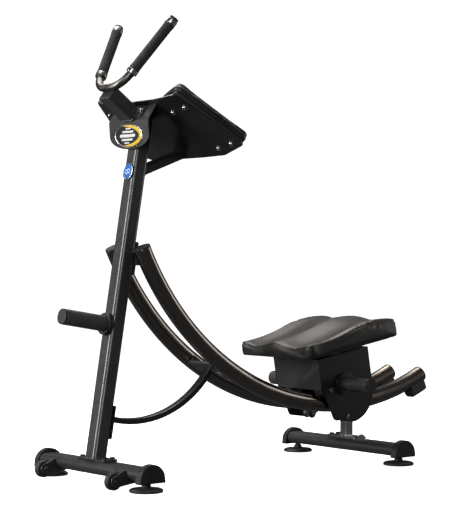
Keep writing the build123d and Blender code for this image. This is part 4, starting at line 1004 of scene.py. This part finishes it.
def makeEmblem():
    centre, along, across, normal, (long, wide, thick) = slabFrame("round_emblem", (-1, 0, 0.17))
    along = np.array([0.0, -1.0, 0.0])
    up = np.cross(normal, along)
    back = centre - normal * thick
    radius = np.ptp(nodePoints("round_emblem")[:, 1]) / 2

    def add(name, points, faces, material):
        piece = makeMesh(name, placed(points, back, along, up, normal), faces, material, "frame")
        outward(piece)
        return piece

    disc = add("emblemDisc", *domed(radius - 0.002, radius - 0.002, thick * 0.72, 0.0014), emblemBlue)
    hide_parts("round_emblem")
    t = np.linspace(0, 2 * np.pi, 120, endpoint=False)
    ring = np.stack([(radius - 0.0022) * np.cos(t), (radius - 0.0022) * np.sin(t), 0 * t + thick * 0.70], 1)
    add("emblemRing", *bead(ring, 0.0021, 0.8), badgeSilver)
    # two plain waves: y = height + swell * sin(2 pi x / pitch)
    swell, pitch, steps, sides = 0.0026, 0.019, 60, 10
    waves = []
    for height in (0.0045, -0.0045):
        x = np.linspace(-0.014, 0.014, steps)
        taper = np.sqrt(np.clip(1 - (x / 0.0141) ** 2, 0, 1)) * 0.0019 + 0.0001
        y = height + swell * np.sin(2 * np.pi * x / pitch)
        line = np.stack([x, y, 0 * x + thick * 0.72 + 0.0011], 1)
        waves.append(bead(line, taper, 0.5, sides, False))
    points = np.concatenate([w[0] for w in waves])
    faces = np.concatenate([waves[0][1], waves[1][1] + steps * sides])
    add("emblemWaves", points.reshape(-1, 3), faces, badgeWhite)


def makeBoltHeads():
    # button heads with a washer: the dome is a circle's arc, the socket a round cup
    dome = np.linspace(0, np.pi / 2, 8)
    for node, facing, radius, height in (
        ("pad_bolts", None, 0.0082, 0.0050),
        ("stem_bolts", (-0.84, 0, 0.54), 0.0068, 0.0048),
    ):
        allPoints, allFaces, count = [], [], 0
        for group in clusters(node, 0.012):
            if facing is None:
                side = "left" if group[:, 1].mean() > 0 else "right"
                out = slabFrame("elbow_boards", (-0.62, -0.12 if side == "left" else 0.12, -0.76))[3]
            else:
                out = slabFrame(node, facing)[3]
            depth = group @ out
            centre = group.mean(0)
            seat = centre + out * (depth.min() - centre @ out)
            profile = [[0.0, 0.0], [0.0, radius * 1.34], [0.0012, radius * 1.34], [0.0014, radius * 1.28],
                       [0.0014, radius]]
            profile += [[0.0014 + height * np.sin(a), radius * (0.35 + 0.65 * np.cos(a))] for a in dome]
            profile += [[height - 0.0008, radius * 0.33], [height - 0.0008, 0.0]]
            grid, faces = turned(profile, seat, out, 24)
            allPoints.append(grid.reshape(-1, 3))
            allFaces.append(faces + count)
            count += grid.shape[0] * grid.shape[1]
        name = "padButtonBolts" if node == "pad_bolts" else "stemButtonBolts"
        piece = makeMesh(name, np.concatenate(allPoints), np.concatenate(allFaces), pinSteel, "frame")
        outward(piece)
        flat = piece.modifiers.new("edge", "EDGE_SPLIT")
        flat.split_angle = math.radians(40)
        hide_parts(node)


def planeLoop(points, origin, normal, reach=4e-4):
    # the outline of what touches a plane: the convex outline of the points that lie on it
    from mathutils.geometry import convex_hull_2d
    a = np.cross(normal, [0.0, 1.0, 0.0])
    a /= np.linalg.norm(a)
    b = np.cross(normal, a)
    near = points[np.abs((points - origin) @ normal) < reach]
    flat = np.stack([(near - origin) @ a, (near - origin) @ b], 1)
    order = convex_hull_2d([Vector(p) for p in flat.tolist()])
    hull = flat[order]
    step = np.linalg.norm(np.roll(hull, -1, 0) - hull, axis=1)
    s = np.concatenate([[0], np.cumsum(step)])
    closed = np.vstack([hull, hull[:1]])
    count = int(s[-1] / 0.0007)
    even = np.linspace(0, s[-1], count, endpoint=False)
    loop = np.stack([np.interp(even, s, closed[:, k]) for k in range(2)], 1)
    return origin + loop[:, :1] * a + loop[:, 1:] * b, even


weldSet = {"radius": 0.0026, "ripple": 0.16, "pitch": 0.0034}


def weldBead(name, loop, even, normal, material, body="frame", radius=None):
    # a fillet weld: a cord round the joint whose radius is R * (1 + ripple * |sin|), one ripple a pitch
    w = weldSet
    size = (radius or w["radius"]) * (1 + w["ripple"] * (np.abs(np.sin(np.pi * even / w["pitch"])) - 0.5))
    ahead = np.roll(loop, -1, 0) - np.roll(loop, 1, 0)
    ahead /= np.linalg.norm(ahead, axis=1, keepdims=True)
    across = np.cross(ahead, normal)
    t = np.linspace(0, 2 * np.pi, 8, endpoint=False)
    ring = np.cos(t)[None, :, None] * across[:, None] + np.sin(t)[None, :, None] * np.array(normal)
    points = loop[:, None] + ring * size[:, None, None]
    piece = makeMesh(name, points, gridFaces(len(loop), 8, True, True), material, body)
    outward(piece)
    return piece


def makeWelds():
    up = np.array([0.0, 0.0, 1.0])
    foot = nodePoints("upright")
    origin = np.array([foot[foot[:, 2] < foot[:, 2].min() + 2e-4][:, 0].mean(), 0, foot[:, 2].min()])
    weldBead("uprightFootWeld", *planeLoop(foot, origin, up), up, paint)
    post = nodePoints("rear_post")
    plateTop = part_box("upright_foot_plate")[1].z
    nearAxis = post[np.abs(post[:, 1]) < 0.022]
    weldBead("rearPostWeld", *planeLoop(nearAxis[np.abs(nearAxis[:, 0] - rearX) < 0.022],
                                        np.array([rearX, 0, plateTop]), up), up, plated, radius=0.0022)
    # lean of the upright, from the middles of its two ends
    top = foot[foot[:, 2] > foot[:, 2].max() - 0.05]
    lean = np.array([top[:, 0].mean() - origin[0], 0, top[:, 2].mean() - origin[2]])
    lean /= np.linalg.norm(lean)
    rearward = np.array([lean[2], 0.0, -lean[0]])
    strut = nodePoints("pad_strut")
    depth = strut @ rearward
    # the strut's weld takes the painted-shade copy of the powder coat
    weldBead("strutWeld", *planeLoop(strut, strut[depth.argmin()] * [1, 0, 1], rearward), rearward, shadedPaint)
    stem = nodePoints("handle_stem")
    centre, along, across, normal, sizes = slabFrame("stem_bolts", (-0.84, 0, 0.54))
    flange = nodePoints("stem_bolts")
    face = centre - normal * np.ptp(flange @ normal)
    inner = stem[np.abs(stem[:, 1]) < 0.0305]
    weldBead("stemWeld", *planeLoop(inner, face * [1, 0, 1], normal, 6e-4), normal, paint)
    print("welds laid")


makeBadge()
makeEmblem()
makeBoltHeads()
makeWelds()


# floor and backdrop

def addStage():
    # a flat floor that turns up into a backdrop through a wide quarter turn
    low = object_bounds()[0][2]
    look = np.array([cameraSet["look"][0], cameraSet["look"][1], 0.0])
    look /= np.linalg.norm(look)
    side = np.array([look[1], -look[0], 0.0])
    front, reach, bend, rise = -9.0, 5.0, 1.6, 6.0
    halfWidth, columns, turnSteps = 10.0, 9, 16
    under = 0.0002  # the floor lies just below the feet
    turn = np.linspace(0, np.pi / 2, turnSteps)
    profile = np.concatenate([[[front, 0.0]],
                              np.stack([reach + bend * np.sin(turn), bend * (1 - np.cos(turn))], 1),
                              [[reach + bend, rise]]])
    width = np.linspace(-halfWidth, halfWidth, columns)
    points = profile[:, None, :1] * look + width[None, :, None] * side
    points = points + profile[:, None, 1:] * np.array([0.0, 0.0, 1.0])
    points[..., 2] += low - under
    mesh = bpy.data.meshes.new("studioSweep")
    mesh.from_pydata(points.reshape(-1, 3).tolist(), [], gridFaces(len(profile), columns).tolist())
    mesh.polygons.foreach_set("use_smooth", np.ones(len(mesh.polygons), bool))
    sweep = bpy.data.objects.new("studioSweep", mesh)
    bpy.context.scene.collection.objects.link(sweep)
    pale = newMaterial("paleFloor", (0.95, 0.95, 0.95), 0.9, Emission_Color=(1, 1, 1, 1),
                       Emission_Strength=0.92)
    mesh.materials.append(pale)
    sweep.visible_glossy = False
    sweep.visible_diffuse = False
    return sweep


addStage()


print("scene finished")
